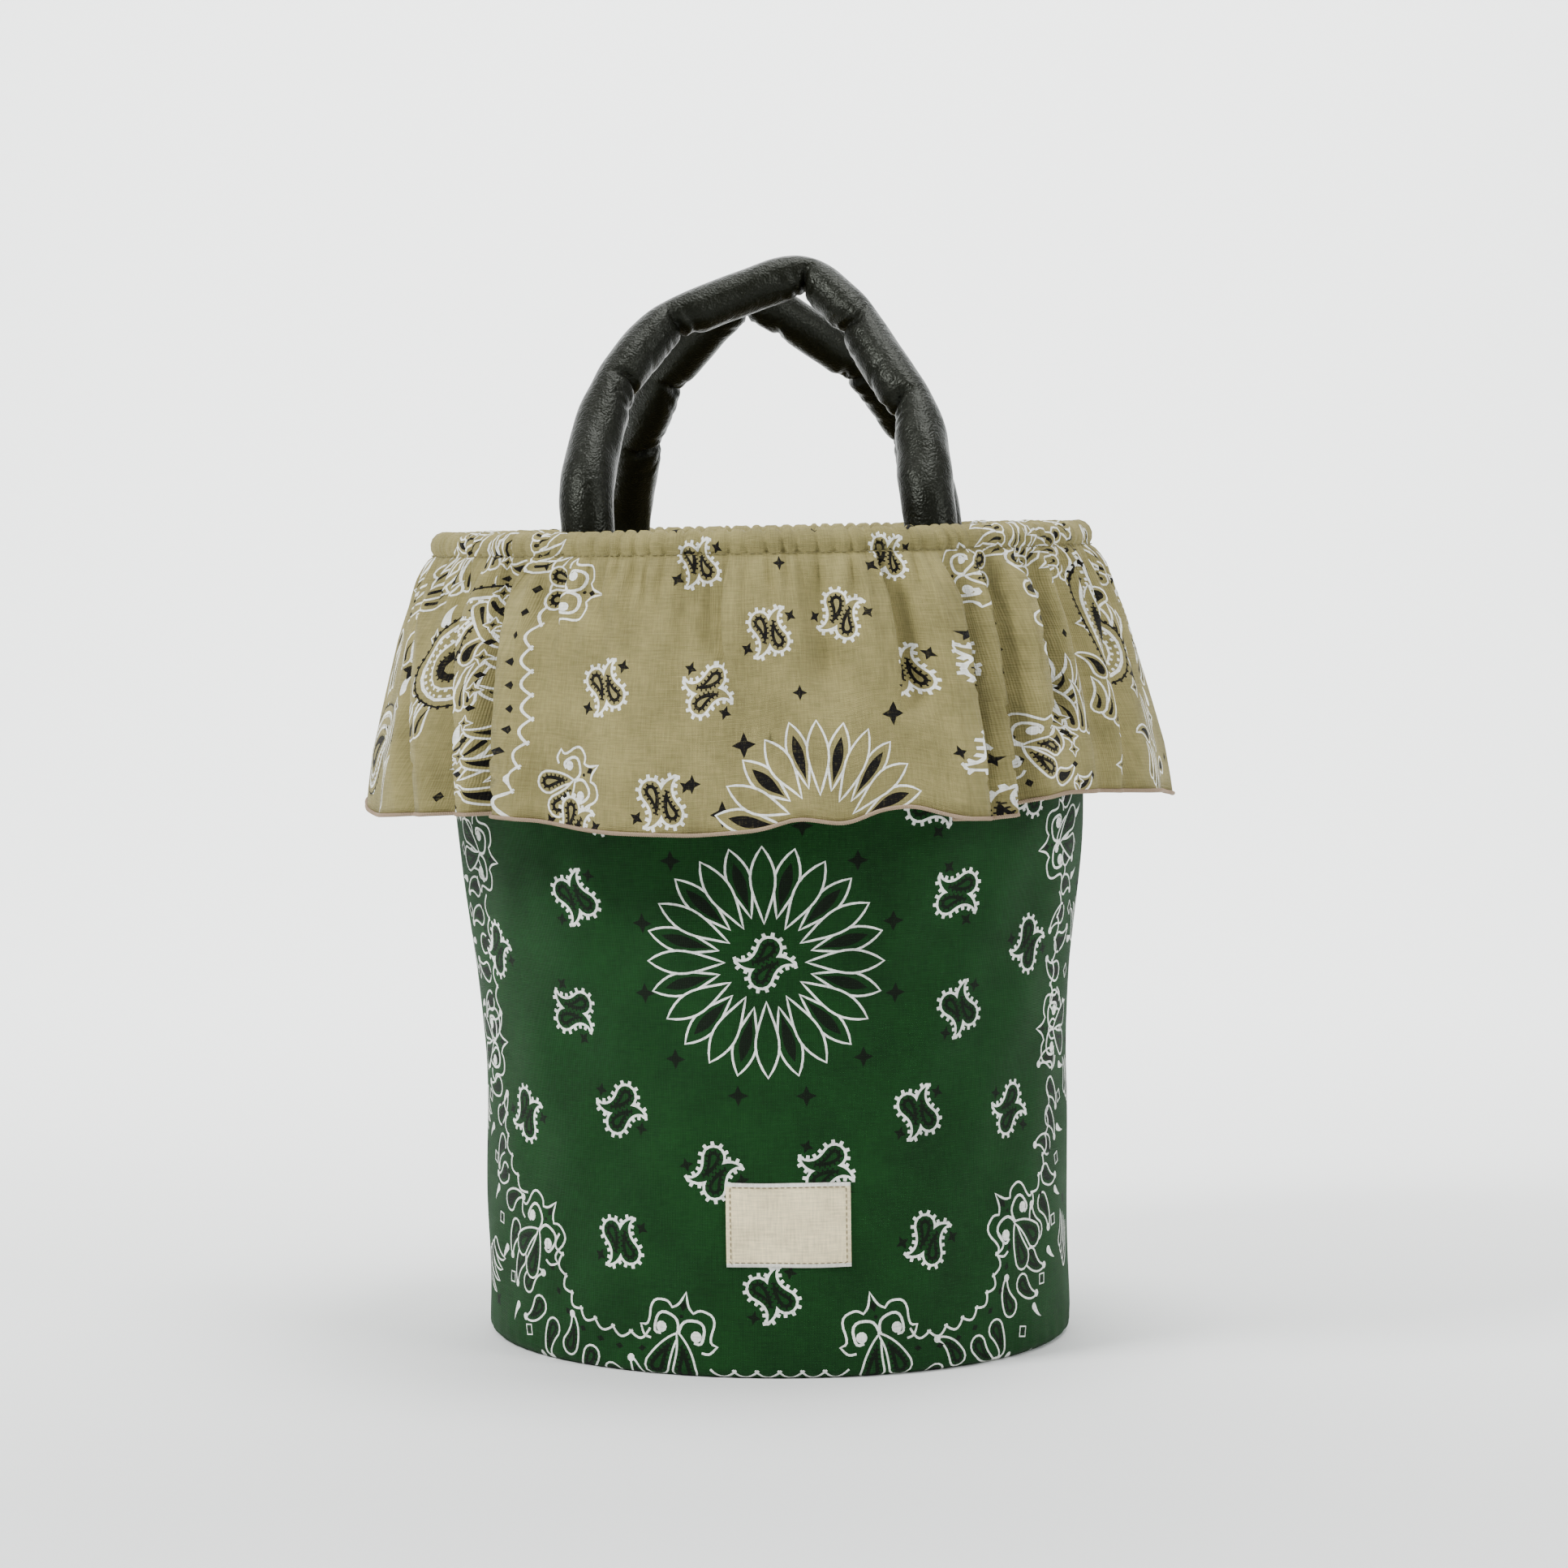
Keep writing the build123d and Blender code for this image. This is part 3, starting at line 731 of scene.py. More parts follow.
# Height of the hem, as (degrees from the middle, height).
HEMS = {
    FRONT: ((-90, 237), (-78, 235), (-54, 240), (-39, 242), (-33, 240), (-26, 237), (-21, 236),
            (-10, 235), (-1, 237), (4, 242), (10, 239), (15, 245), (20, 246), (25, 241), (32, 238),
            (37, 242), (40, 246), (46, 248), (55, 247), (78, 243), (90, 239)),
    BACK: ((-90, 239), (-72, 243), (-55, 236), (-38, 245), (-20, 238), (-4, 242), (12, 236), (30, 246),
           (47, 239), (66, 244), (90, 237)),
}

# Folds, as degrees at the top and at the hem, how far down they run, their depth and their lap.
FOLDS = {
    FRONT: ((-42, -38, 140, 7, 9), (-55, -47, 140, 4, 3), (-72, -56, 140, 5, 4), (-33, -31, 34, 4, 3),
            (-26, -24, 28, 3, 2.5), (-19, -17, 18, 2.5, 2), (-6, -5, 52, 2.5, 3), (8, 11, 64, 3, 0),
            (19, 20, 74, 4, 4), (31, 29, 140, 6, 7), (38, 35.5, 140, 5, 4), (47, 43, 92, 9, 5),
            (58, 56, 140, 3, 0), (71, 62, 140, 3, 0)),
    BACK: ((-78, -70, 140, 5, 4), (-64, -60, 60, 4, 3), (-51, -53, 140, 7, 7), (-37, -33, 80, 4, 3),
           (-25, -27, 140, 5, 4), (-13, -10, 45, 3, 2), (-2, 1, 140, 4, 0), (14, 11, 140, 6, 6),
           (26, 29, 70, 4, 3), (41, 38, 140, 6, 5), (55, 59, 90, 5, 4), (72, 68, 140, 4, 3)),
}

# How far a fold presses in, for each unit of depth in those lists.
FOLD_GAIN = 3.3


def rim_section():
    """The rim cloth's section by distance below the seam: facing, casing, then the skirt."""
    turn = np.linspace(SEAM_ANGLE + CASING_DEPTH / CASING_RADIUS, SEAM_ANGLE, 40)
    casing = np.column_stack([
        RIM_RADIUS + CASING_RADIUS * np.cos(turn), CORD_HEIGHT + CASING_RADIUS * np.sin(turn),
    ])
    facing_radius = cover_radius(WALL_TOP) - WALL_LAYERS - 1.4
    down = np.linspace(WALL_TOP - FACING_DEPTH + 1, WALL_TOP - 3, 20)
    facing = np.column_stack([facing_radius - 0.012 * (WALL_TOP - down), down])
    line = np.vstack([facing, casing, SKIRT_LINE])
    run = np.concatenate([[0], np.cumsum(np.hypot(*np.diff(line, axis=0).T))])
    seam = run[len(facing) + len(casing) - 1]
    start = run[len(facing)]
    distance = run - seam
    inner = distance < start - seam
    distance[inner] = -CASING_DEPTH - (start - run[inner]) * FACING_DEPTH / start
    return distance, line[:, 0], line[:, 1]


def creases(side):
    """Where the gathers pinch the cloth: place, slant, depth and how far down each runs."""
    random = np.random.default_rng(5 + side)
    places = np.cumsum(random.uniform(6.0, 11.5, 80)) - 305
    places = places[places < 300]
    count = len(places)
    return zip(places, random.uniform(-0.12, 0.12, count), random.uniform(0.55, 1.25, count),
               random.uniform(12, 42, count))


def rim_place(side):
    """Places the rim cloth: (degrees round, distance up from the seam) in cloth millimetres."""
    distance, radii, heights = rim_section()
    below = distance > 0
    round_the_hem = np.linspace(-90, 90, 721)
    hems = through(HEMS[side], round_the_hem, 1.3)
    lengths = np.interp(-hems, -heights[below], distance[below])

    def place(flat):
        across, down = flat[:, 0], -flat[:, 1]
        azimuth = across / MM_PER_DEGREE
        length = np.interp(azimuth, round_the_hem, lengths)
        cut = np.where(down > 0, down * length / SKIRT_DEPTH, down)
        radius, height = np.interp(cut, distance, radii), np.interp(cut, distance, heights)
        on_skirt = step(down, 0, 14)
        aside, inwards = np.zeros_like(across), np.zeros_like(across)
        for top, hem, run, depth, lap in FOLDS[side]:
            depth *= FOLD_GAIN
            middle = MM_PER_DEGREE * (top + (hem - top) * np.clip(down, 0, None) / SKIRT_DEPTH)
            away = math.copysign(1, top)
            half = 5.0 + 0.3 * lap
            from_fold = (across - middle) * away / half
            strength = step(down, -2, 26) * (1 - step(down, run - 16, run + 6))
            if lap:
                near = np.clip(from_fold, -1, 1)
                aside -= away * lap * strength * np.sin(math.pi * near)
                back = 1 - step(from_fold * half, half, half + 16)
                inwards += depth * strength * step(from_fold, -0.5, 0.6) * back
                inwards -= 0.25 * depth * strength * np.exp(-((from_fold * half + 9) / 6) ** 2)
            else:
                inwards += depth * strength * np.exp(-((from_fold * half / (6.0 + 0.03 * down)) ** 2))
        turn = np.radians(azimuth) + (math.pi if side == BACK else 0)
        wave = 1.7 * np.sin(9 * turn + 1) + 1.5 * np.sin(14 * turn + 2.4) + 1.1 * np.sin(23 * turn + 0.4)
        inwards += (1.6 + wave) * step(down, 10, SKIRT_DEPTH)
        for at, slant, depth, run in creases(side):
            gap = across - at - slant * down
            fade = np.where(down > 0, np.exp(-np.clip(down, 0, None) / run), step(down, -33, -26))
            width = 1.45 + 0.085 * np.clip(down, 0, None)
            pinch = np.exp(-((gap / width) ** 2)) - 0.35 * np.exp(-((gap / (3.2 * width)) ** 2))
            inwards += 2.0 * depth * pinch * fade * (1 + 2.4 * on_skirt)
        room = np.where(down > 0, radius - cover_radius(height) - 1.4, 3.0)
        room = np.maximum(room, 0.4)
        inwards = np.where(inwards > 0, room * (1 - np.exp(-np.clip(inwards, 0, None) / room)), inwards)
        around = np.arctan2(height - CORD_HEIGHT, radius - RIM_RADIUS)
        casing = (down <= 0) & (down > -CASING_DEPTH)
        hung = np.where(down > 0, radius - inwards, radius)
        radius = np.where(casing, radius - inwards * np.cos(around), hung)
        height = np.where(casing, height - inwards * np.sin(around), height)
        angle = np.radians(azimuth) + aside / radius * step(90 - abs(azimuth), 0, 6)
        return settle(turned(radius, angle, height, side))

    return place


# ---------------------------------------------------------------- rows of thread


def thread_row(name, path, spacing, material, make_shape, core=0.0):
    """Repeats a thread shape along a path's runs, each (points, closed), with Geometry Nodes."""
    curve = bpy.data.curves.new(name, "CURVE")
    curve.dimensions = "3D"
    for line, closed in path:
        spline = curve.splines.new("POLY")
        spline.points.add(len(line) - 1)
        rows = np.column_stack([line * MM, np.ones(len(line))])
        spline.points.foreach_set("co", rows.ravel())
        spline.use_cyclic_u = closed
    guide = link(f"{name}_guide", curve)
    tree = bpy.data.node_groups.new(f"{name} row", "GeometryNodeTree")
    for label, kind, value in (
        ("Path", "NodeSocketGeometry", None), ("Spacing", "NodeSocketFloat", spacing * MM),
        ("Core Radius", "NodeSocketFloat", core * MM), ("Thread", "NodeSocketMaterial", material),
    ):
        socket = tree.interface.new_socket(name=label, in_out="INPUT", socket_type=kind)
        if isinstance(value, float):
            socket.default_value = value
    tree.interface.new_socket(name="Stitches", in_out="OUTPUT", socket_type="NodeSocketGeometry")
    given = add(tree, "NodeGroupInput")
    at = add(tree, "GeometryNodeCurveToPoints", {
        "Curve": given.outputs["Path"], "Length": given.outputs["Spacing"],
    }, mode="LENGTH")
    shape, tilt = make_shape(tree)
    rotation = add(tree, "FunctionNodeRotateRotation", {
        "Rotation": at.outputs["Rotation"], "Rotate By": tilt,
    }, rotation_space="LOCAL").outputs[0]
    stitches = add(tree, "GeometryNodeInstanceOnPoints", {
        "Points": at.outputs["Points"], "Instance": shape, "Rotation": rotation,
    }).outputs[0]
    joined = add(tree, "GeometryNodeJoinGeometry")
    tree.links.new(stitches, joined.inputs[0])
    if core:
        profile = add(tree, "GeometryNodeCurvePrimitiveCircle", {
            "Resolution": 8, "Radius": given.outputs["Core Radius"],
        }).outputs[0]
        roll = add(tree, "GeometryNodeCurveToMesh", {
            "Curve": given.outputs["Path"], "Profile Curve": profile, "Fill Caps": True,
        }).outputs[0]
        tree.links.new(roll, joined.inputs[0])
    real = add(tree, "GeometryNodeRealizeInstances", {0: joined.outputs[0]}).outputs[0]
    dressed = add(tree, "GeometryNodeSetMaterial", {
        "Geometry": real, "Material": given.outputs["Thread"],
    }).outputs[0]
    add(tree, "NodeGroupOutput", {"Stitches": dressed})
    row = guide.modifiers.new("row", "NODES")
    row.node_group = tree
    for socket in tree.interface.items_tree:
        if socket.name == "Thread":
            row[socket.identifier] = material
        if socket.name == "Spacing":
            row[socket.identifier] = spacing * MM
        if socket.name == "Core Radius":
            row[socket.identifier] = core * MM
    depsgraph = bpy.context.evaluated_depsgraph_get()
    mesh = bpy.data.meshes.new_from_object(guide.evaluated_get(depsgraph))
    mesh.name = name
    bpy.data.objects.remove(guide)
    mesh.shade_smooth()
    return link(name, mesh)


def bead(length, width):
    """A stitch: one short, round-ended run of thread along the path."""

    def make_shape(tree):
        ball = add(tree, "GeometryNodeMeshUVSphere", {
            "Segments": 8, "Rings": 6, "Radius": 0.5 * MM,
        }).outputs[0]
        drawn = add(tree, "GeometryNodeTransform", {
            "Geometry": ball, "Scale": (width, width, length),
        }).outputs[0]
        return drawn, (0, 0, 0)

    return make_shape


def wrap(radius, thread, slant):
    """A turn of thread round the path, laid at a slant."""

    def make_shape(tree):
        loop, section = (
            add(tree, "GeometryNodeCurvePrimitiveCircle", {
                "Resolution": sides, "Radius": size * MM,
            }).outputs[0]
            for sides, size in ((10, radius), (5, thread))
        )
        turn = add(tree, "GeometryNodeCurveToMesh", {"Curve": loop, "Profile Curve": section}).outputs[0]
        return turn, (math.radians(slant), 0, 0)

    return make_shape


# ---------------------------------------------------------------- handles

# Middle lines of the arches above the rim, as (right, back, up).
ARCHES = {
    FRONT: ((-83.0, -97, 374), (-81.0, -85, 388), (-78.7, -73, 402), (-73.5, -61, 417), (-64.8, -48, 433),
            (-53.4, -35, 447), (-36.0, -28, 456), (-12.7, -21, 465), (10.0, -15, 473.5), (20.4, -21, 465),
            (31.8, -30, 454), (40.8, -43, 439), (51.8, -59, 421), (59.7, -69, 408), (61.8, -84, 391),
            (62.4, -97, 374)),
    BACK: ((-71.0, 98, 374), (-68.0, 84, 389), (-63.5, 69, 405), (-56.0, 55, 422), (-46.5, 44, 435),
           (-38.0, 35, 445), (-28.6, 27, 455), (-16.9, 21, 462.5), (-2.2, 24, 459), (11.4, 31, 450),
           (25.4, 39, 441), (38.5, 47, 431), (48.8, 55, 421), (57.6, 66, 409), (65.6, 80, 392),
           (71.0, 96, 375)),
}

# Kinks of the arches: (share of the arch's length, depth, spread in mm, slant).
KINKS = {
    FRONT: ((0.20, 0.22, 9, 0.5), (0.345, 0.34, 7, -0.4), (0.56, 0.46, 6, -0.3), (0.665, 0.30, 6, 0.6),
            (0.845, 0.36, 7, -0.5)),
    BACK: ((0.13, 0.20, 8, 0.3), (0.26, 0.26, 8, -0.5), (0.47, 0.30, 8, 0.2), (0.70, 0.22, 9, -0.3),
           (0.86, 0.22, 8, 0.4)),
}

# A handle's foot from its sewn end up to the rim, as (radius, height).
FOOT = ((132.7, 296), (132.7, 307), (132.4, 320), (129.0, 332), (125.0, 344), (123.3, 356), (122.9, 364))

# Where the feet and their swing line stand, and how far the back handle is sewn to the right.
FOOT_SPREAD = 73.0
HINGE_Y = 98.87
BACK_SHIFT = 9.0

# Heights on a handle: its lowest point, its bend at the rim, its arch and its filling.
TAB_LOW = 290.0
ARCH_LOW = 374.0
FILLING_LOW = 390.0

# The rows of stitches through the tabs.
TACK_HEIGHTS = (300.0, 316.0)
TACK_RADIUS = 130.6


def foot_directions(side):
    """Level directions from the bag's middle to a handle's left and right feet."""
    radius = math.hypot(FOOT_SPREAD, HINGE_Y)
    across = np.array([-FOOT_SPREAD, FOOT_SPREAD]) + (BACK_SHIFT if side == BACK else 0.0)
    return np.column_stack([across, side * np.sqrt(radius**2 - across**2)]) / radius


def handle_line(side):
    """A handle's middle line from its left tab, over its arch, to its right tab."""
    feet = []
    for x, y in foot_directions(side):
        feet.append(settle(np.array([(x * radius, y * radius, height) for radius, height in FOOT])))
    corners = np.vstack([feet[0], ARCHES[side], feet[1][::-1]])
    curve = bpy.data.curves.new("handle_line", "CURVE")
    curve.dimensions = "3D"
    spline = curve.splines.new("NURBS")
    spline.points.add(len(corners) - 1)
    spline.points.foreach_set("co", np.column_stack([corners, np.ones(len(corners))]).ravel())
    spline.order_u = 4
    spline.use_endpoint_u = True
    spline.resolution_u = 16
    holder = link("handle_line", curve)
    mesh = bpy.data.meshes.new_from_object(holder.evaluated_get(bpy.context.evaluated_depsgraph_get()))
    line = np.empty(len(mesh.vertices) * 3)
    mesh.vertices.foreach_get("co", line)
    bpy.data.objects.remove(holder)
    line = line.reshape(-1, 3)
    run = np.concatenate([[0], np.cumsum(np.linalg.norm(np.diff(line, axis=0), axis=1))])
    even = np.linspace(0, run[-1], round(run[-1] / 1.1))
    return np.column_stack([np.interp(even, run, line[:, k]) for k in range(3)]), even


def carried_frames(line, first, last):
    """Sideways and outward directions along a line that turn as little as they can."""
    ahead = np.gradient(line, axis=0)
    ahead /= np.linalg.norm(ahead, axis=1)[:, None]
    sideways = [first]
    for k in range(1, len(line)):
        kept = sideways[-1] - ahead[k] * np.dot(sideways[-1], ahead[k])
        sideways.append(kept / np.linalg.norm(kept))
    sideways = np.array(sideways)
    outwards = np.cross(ahead, sideways)
    twist = math.atan2(np.dot(last, outwards[-1]), np.dot(last, sideways[-1]))
    twist = np.linspace(0, twist, len(line))[:, None]
    return (sideways * np.cos(twist) + outwards * np.sin(twist),
            outwards * np.cos(twist) - sideways * np.sin(twist))


def handle_tube(name, side, shrink, low, material, around=48):
    """A stuffed tube along a handle's line, flattened where it is sewn inside the rim."""
    line, run = handle_line(side)
    first, last = (side * np.array([y, -x, 0.0]) for x, y in foot_directions(side))
    sideways, outwards = carried_frames(line, first, last)
    height = line[:, 2]
    arch = np.flatnonzero(height > ARCH_LOW)
    length = run[arch[-1]] - run[arch[0]]
    share = (run - run[arch[0]]) / length

    # Half the tube's width: slimmer towards its top, and thin and wide at the tabs.
    full = 12.2 - 2.3 * np.sin(math.pi * np.clip(share, 0, 1)) ** 0.8
    full = np.where(height < ARCH_LOW, 11.4, full)
    full = np.convolve(np.pad(full, 8, "edge"), np.ones(17) / 17, "valid")
    kept = height > low
    line, sideways, outwards, height, share, full = (
        rows[kept] for rows in (line, sideways, outwards, height, share, full)
    )
    flat = 1 - step(height, 316, 350)
    wide = full * (1 - flat) + 16.0 * flat - shrink
    thick = full * (1 - flat) + 1.75 * flat - shrink
    turn = np.linspace(0, 2 * math.pi, around, endpoint=False)

    # How far each part of the tube's skin faces the inside of the arch, from -1 to 1.
    middle = np.array([-8.0, side * 60.0, 395.0])
    inner = middle - line
    inner /= np.linalg.norm(inner, axis=1)[:, None]
    ring = (np.cos(turn)[None, :, None] * sideways[:, None] * wide[:, None, None]
            + np.sin(turn)[None, :, None] * outwards[:, None] * thick[:, None, None])
    facing = (ring * inner[:, None]).sum(2) / np.maximum(np.linalg.norm(ring, axis=2), 1e-6)

    # Kinks and fine creases on the inside of the arch, and the tube's seam.
    scale = np.ones_like(facing)
    random = np.random.default_rng(21 + side)
    here = (share * length)[:, None]
    for at, depth, spread, slant in KINKS[side]:
        gap = here - at * length - slant * 9 * np.sin(turn)[None] * (1 - abs(facing))
        inner_side = 0.12 + 0.88 * step(facing, -0.7, 0.9)
        scale -= depth * 0.62 * np.exp(-((gap / spread) ** 2)) * inner_side
        scale -= 0.3 * np.exp(-((gap / 1.6) ** 2)) * step(facing, -0.7, 0.5)
        for _ in range(7):
            shift, lean = random.uniform(-20, 20), random.uniform(-9, 9)
            fold = gap - shift - lean * np.sin(turn)[None] - 0.3 * lean * np.sin(3 * turn)[None]
            scale -= random.uniform(0.03, 0.075) * np.exp(-((fold / 1.9) ** 2)) * step(facing, -0.3, 0.6)
    for _ in range(10):
        scale += 0.006 * np.sin(random.uniform(0.05, 0.35) * here + random.integers(1, 4) * turn[None]
                                + random.uniform(0, 6.3))
    seam = np.exp(-(((facing - 0.96) / 0.03) ** 2)) if shrink == 0 else 0 * facing
    scale -= 0.02 * seam * (height > ARCH_LOW - 2)[:, None]
    scale = np.where(flat[:, None] > 0.5, 1, scale)

    points = (line[:, None] + ring * scale[:, :, None]).reshape(-1, 3)
    rows = len(line)
    index = np.arange(rows * around).reshape(rows, around)
    across = np.roll(index, -1, axis=1)
    faces = np.stack([index[:-1], across[:-1], across[1:], index[1:]], axis=2).reshape(-1, 4).tolist()
    points = np.vstack([points, line[:1], line[-1:]])
    foot, head = rows * around, rows * around + 1
    for k in range(around):
        after = (k + 1) % around
        faces.append([foot, int(index[0, after]), int(index[0, k])])
        faces.append([head, int(index[-1, k]), int(index[-1, after])])
    mesh = bpy.data.meshes.new(name)
    mesh.from_pydata((points * MM).tolist(), [], faces)
    mesh.update()
    piece = link(name, mesh)
    if volume(mesh) < 0:
        mesh.flip_normals()
    mesh.shade_smooth()
    mesh.materials.append(material)
    return piece


def volume(mesh):
    """Signed volume of a closed mesh; it is positive where the faces point outwards."""
    mesh.calc_loop_triangles()
    corners = np.empty(len(mesh.vertices) * 3)
    mesh.vertices.foreach_get("co", corners)
    corners = corners.reshape(-1, 3)
    triangles = np.empty(len(mesh.loop_triangles) * 3, dtype=np.int32)
    mesh.loop_triangles.foreach_get("vertices", triangles)
    a, b, c = corners[triangles.reshape(-1, 3)].transpose(1, 0, 2)
    return (a * np.cross(b, c)).sum() / 6


# ---------------------------------------------------------------- settings


class BagSizes(bpy.types.PropertyGroup):
    """How the soft bag stands."""

    lean: FloatProperty(
        name="Lean", description="How far the rim stands to the left of the base",
        default=0.0086, min=0.0, max=0.02, unit="LENGTH",
    )
    tilt: FloatProperty(
        name="Tilt", description="How much higher the rim is on the right, for its width",
        default=0.02, min=0.0, max=0.05, subtype="FACTOR",
    )


class BagColours(bpy.types.PropertyGroup):
    """Dyes, inks and threads."""

    green: FloatVectorProperty(
        name="Body Green", description="Dye of the body's cotton",
        default=linear("#0d3412"), size=3, subtype="COLOR", min=0, max=1,
    )
    khaki: FloatVectorProperty(
        name="Skirt Khaki", description="Dye of the skirt's cotton",
        default=linear("#81794f"), size=3, subtype="COLOR", min=0, max=1,
    )
    white_ink: FloatVectorProperty(
        name="White Ink", description="Light ink of both prints",
        default=linear("#e6e8e2"), size=3, subtype="COLOR", min=0, max=1,
    )
    dark_ink: FloatVectorProperty(
        name="Dark Ink", description="Dark ink of both prints",
        default=linear("#0b0908"), size=3, subtype="COLOR", min=0, max=1,
    )
    label: FloatVectorProperty(
        name="Label", description="Yarn of the woven label",
        default=linear("#e6d8b0"), size=3, subtype="COLOR", min=0, max=1,
    )
    edging: FloatVectorProperty(
        name="Edging", description="Thread wrapped over the skirt's edge",
        default=linear("#96826c"), size=3, subtype="COLOR", min=0, max=1,
    )
    leather: FloatVectorProperty(
        name="Leather", description="Dye of the handles' lambskin",
        default=linear("#0e0f09"), size=3, subtype="COLOR", min=0, max=1,
    )


# ---------------------------------------------------------------- operators


class BAG_OT_stage(bpy.types.Operator):
    """Adds the floor with its backdrop, the soft lights and the camera"""

    bl_idname = "bag.stage"
    bl_label = "Stage"

    def execute(self, context):
        turn = np.radians(np.linspace(-90, 0, 25))
        bend, back, top = 1.4, 1.6, 5.0
        curved = zip(back + bend * np.cos(turn), bend + bend * np.sin(turn))
        rows = [(-4.0, 0.0), *curved, (back + bend, top)]
        points = [(x, y, z) for y, z in rows for x in (-6.0, 6.0)]
        faces = [(2 * k, 2 * k + 1, 2 * k + 3, 2 * k + 2) for k in range(len(rows) - 1)]
        mesh = bpy.data.meshes.new("studio_paper")
        mesh.from_pydata(points, [], faces)
        mesh.shade_smooth()
        paper, tree, shader = new_material("matt background paper")
        place = add(tree, "ShaderNodeTexCoord").outputs["Object"]
        tooth = add(tree, "ShaderNodeTexNoise", {
            "Vector": place, "Scale": 900.0, "Detail": 2.0,
        }).outputs["Fac"]
        bump = add(tree, "ShaderNodeBump", {
            "Height": tooth, "Strength": 0.05, "Distance": 0.2 * MM,
        }).outputs[0]
        tree.links.new(bump, shader.inputs["Normal"])
        shader.inputs["Base Color"].default_value = (*linear("#eef0ef"), 1)
        shader.inputs["Roughness"].default_value = 0.95
        shader.inputs["Specular IOR Level"].default_value = 0.1
        mesh.materials.append(paper)
        link("studio_paper", mesh)

        world = bpy.data.worlds.new("studio air")
        world.use_nodes = True
        world.node_tree.nodes["Background"].inputs["Color"].default_value = (*linear("#f3f5f6"), 1)
        world.node_tree.nodes["Background"].inputs["Strength"].default_value = 0.4
        context.scene.world = world
        lights = (
            ("overhead_softbox", (0.4, -0.1, 2.5), (0, 0, 0.2), 1.1, 44.0),
            ("key_softbox", (-1.9, -1.3, 2.1), (0, 0, 0.25), 0.8, 100.0),
            ("right_softbox", (2.3, -1.6, 1.5), (0, 0, 0.25), 1.0, 42.0),
            ("backdrop_softbox", (0.0, 0.9, 2.9), (0, 3.2, 1.9), 2.4, 290.0),
        )
        for name, place, aim, size, power in lights:
            light = bpy.data.lights.new(name, "AREA")
            light.shape = "SQUARE"
            light.size = size
            light.energy = power
            lamp = bpy.data.objects.new(name, light)
            lamp.location = place
            lamp.rotation_euler = (Vector(aim) - Vector(place)).to_track_quat("-Z", "Y").to_euler()
            context.scene.collection.objects.link(lamp)

        camera = bpy.data.cameras.new("camera")
        camera.lens = 103.16
        camera.sensor_width = 36.0
        stand = bpy.data.objects.new("camera", camera)
        stand.location = (0.0018, -2.016, 0.3715)
        looking_down = 0.0627
        stand.rotation_euler = (math.pi / 2 - looking_down, 0, 0)
        context.scene.collection.objects.link(stand)
        context.scene.camera = stand
        return {"FINISHED"}


class BAG_OT_covers(bpy.types.Operator):
    """Cuts the printed green cover and its base, and lays them over the padding"""

    bl_idname = "bag.covers"
    bl_label = "Printed Cover"

    def execute(self, context):
        green, white, dark = colours().green, colours().white_ink, colours().dark_ink
        soaked = [0.15 * g + 0.6 * d for g, d in zip(green, dark)]
        materials = [
            cotton("green printed cotton, ground", green),
            cotton("green printed cotton, white ink", white, green),
            cotton("green printed cotton, dark ink", soaked, green),
            cotton("green printed cotton, reverse", [0.8 * g + 0.02 for g in green]),
        ]
        half = BASE_RADIUS * math.pi / 2
        low = cover_section()[0][0]
        across = ticks((-half, half, 3.5))
        along = ticks((low, 6, 0.9), (6, 120, 5), (120, 250, 6), (250, WALL_TOP - 0.4, 9))
        shapes = green_print()
        for side, place in PLACES.items():
            lay = cover_place(side)
            cover = cut_rectangle(f"cover_{place}_print", across, along, shapes, lay, materials)
            thicken(cover, 0.7, REVERSE)
            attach(cover, "bag")
            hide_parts(f"cover_{place}")
        radius = FLOOR_RADIUS - 0.2
        base = round_cloth("cover_base_print", radius, -1, 0.05, materials, shapes)
        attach(base, "bag")
        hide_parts("cover_base")
        return {"FINISHED"}


def round_cloth(name, radius, up, height, materials, shapes=()):
    """A round cloth that lies level and faces up or down; a print makes it fine enough."""
    grid = ticks((-radius, radius, 6.0))
    inside = [z for z in (complex(x, y) for x in grid for y in grid) if abs(z) < radius - 2]
    shifted = [(ink, outline - PRINT_MIDDLE.imag * 1j) for ink, outline in shapes]

    def place(flat):
        swell = 0.12 * np.sin(flat[:, 0] / 17) * np.sin(flat[:, 1] / 21)
        return np.column_stack([flat[:, 0] * up, flat[:, 1], height - up * (0.12 - swell)])

    cut = cut_cloth(name, disc(radius, 180), [] if shapes else inside, shifted, place, materials)
    return thicken(cut, 0.6, len(materials) - 1)


class BAG_OT_padding(bpy.types.Operator):
    """Fills the wall with wadding and finishes the board and wadding of the base"""

    bl_idname = "bag.padding"
    bl_label = "Padding"

    def execute(self, context):
        felt = fibre("needled polyester wadding", linear("#e9e7e0"), 1.5, 0.95, 0.6)
        board = fibre("grey base board", linear("#8d8a80"), 0.8, 0.85, 0.1)
        half = BASE_RADIUS * math.pi / 2 - 0.5
        across, along = ticks((-half, half, 5.0)), ticks((-1.5, 6, 1.2), (6, WALL_TOP - 0.8, 8))
        for side, place in PLACES.items():
            lay = cover_place(side, inset=0.85)
            wadding = cut_rectangle(f"wadding_{place}_padding", across, along, [], lay, [felt])
            thicken(wadding, 3.8, 0)
            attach(wadding, "bag")
            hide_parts(f"wadding_{place}")
        for node, material in (("base_board", board), ("wadding_base", felt)):
            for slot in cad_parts[node].material_slots:
                slot.material = material
        return {"FINISHED"}


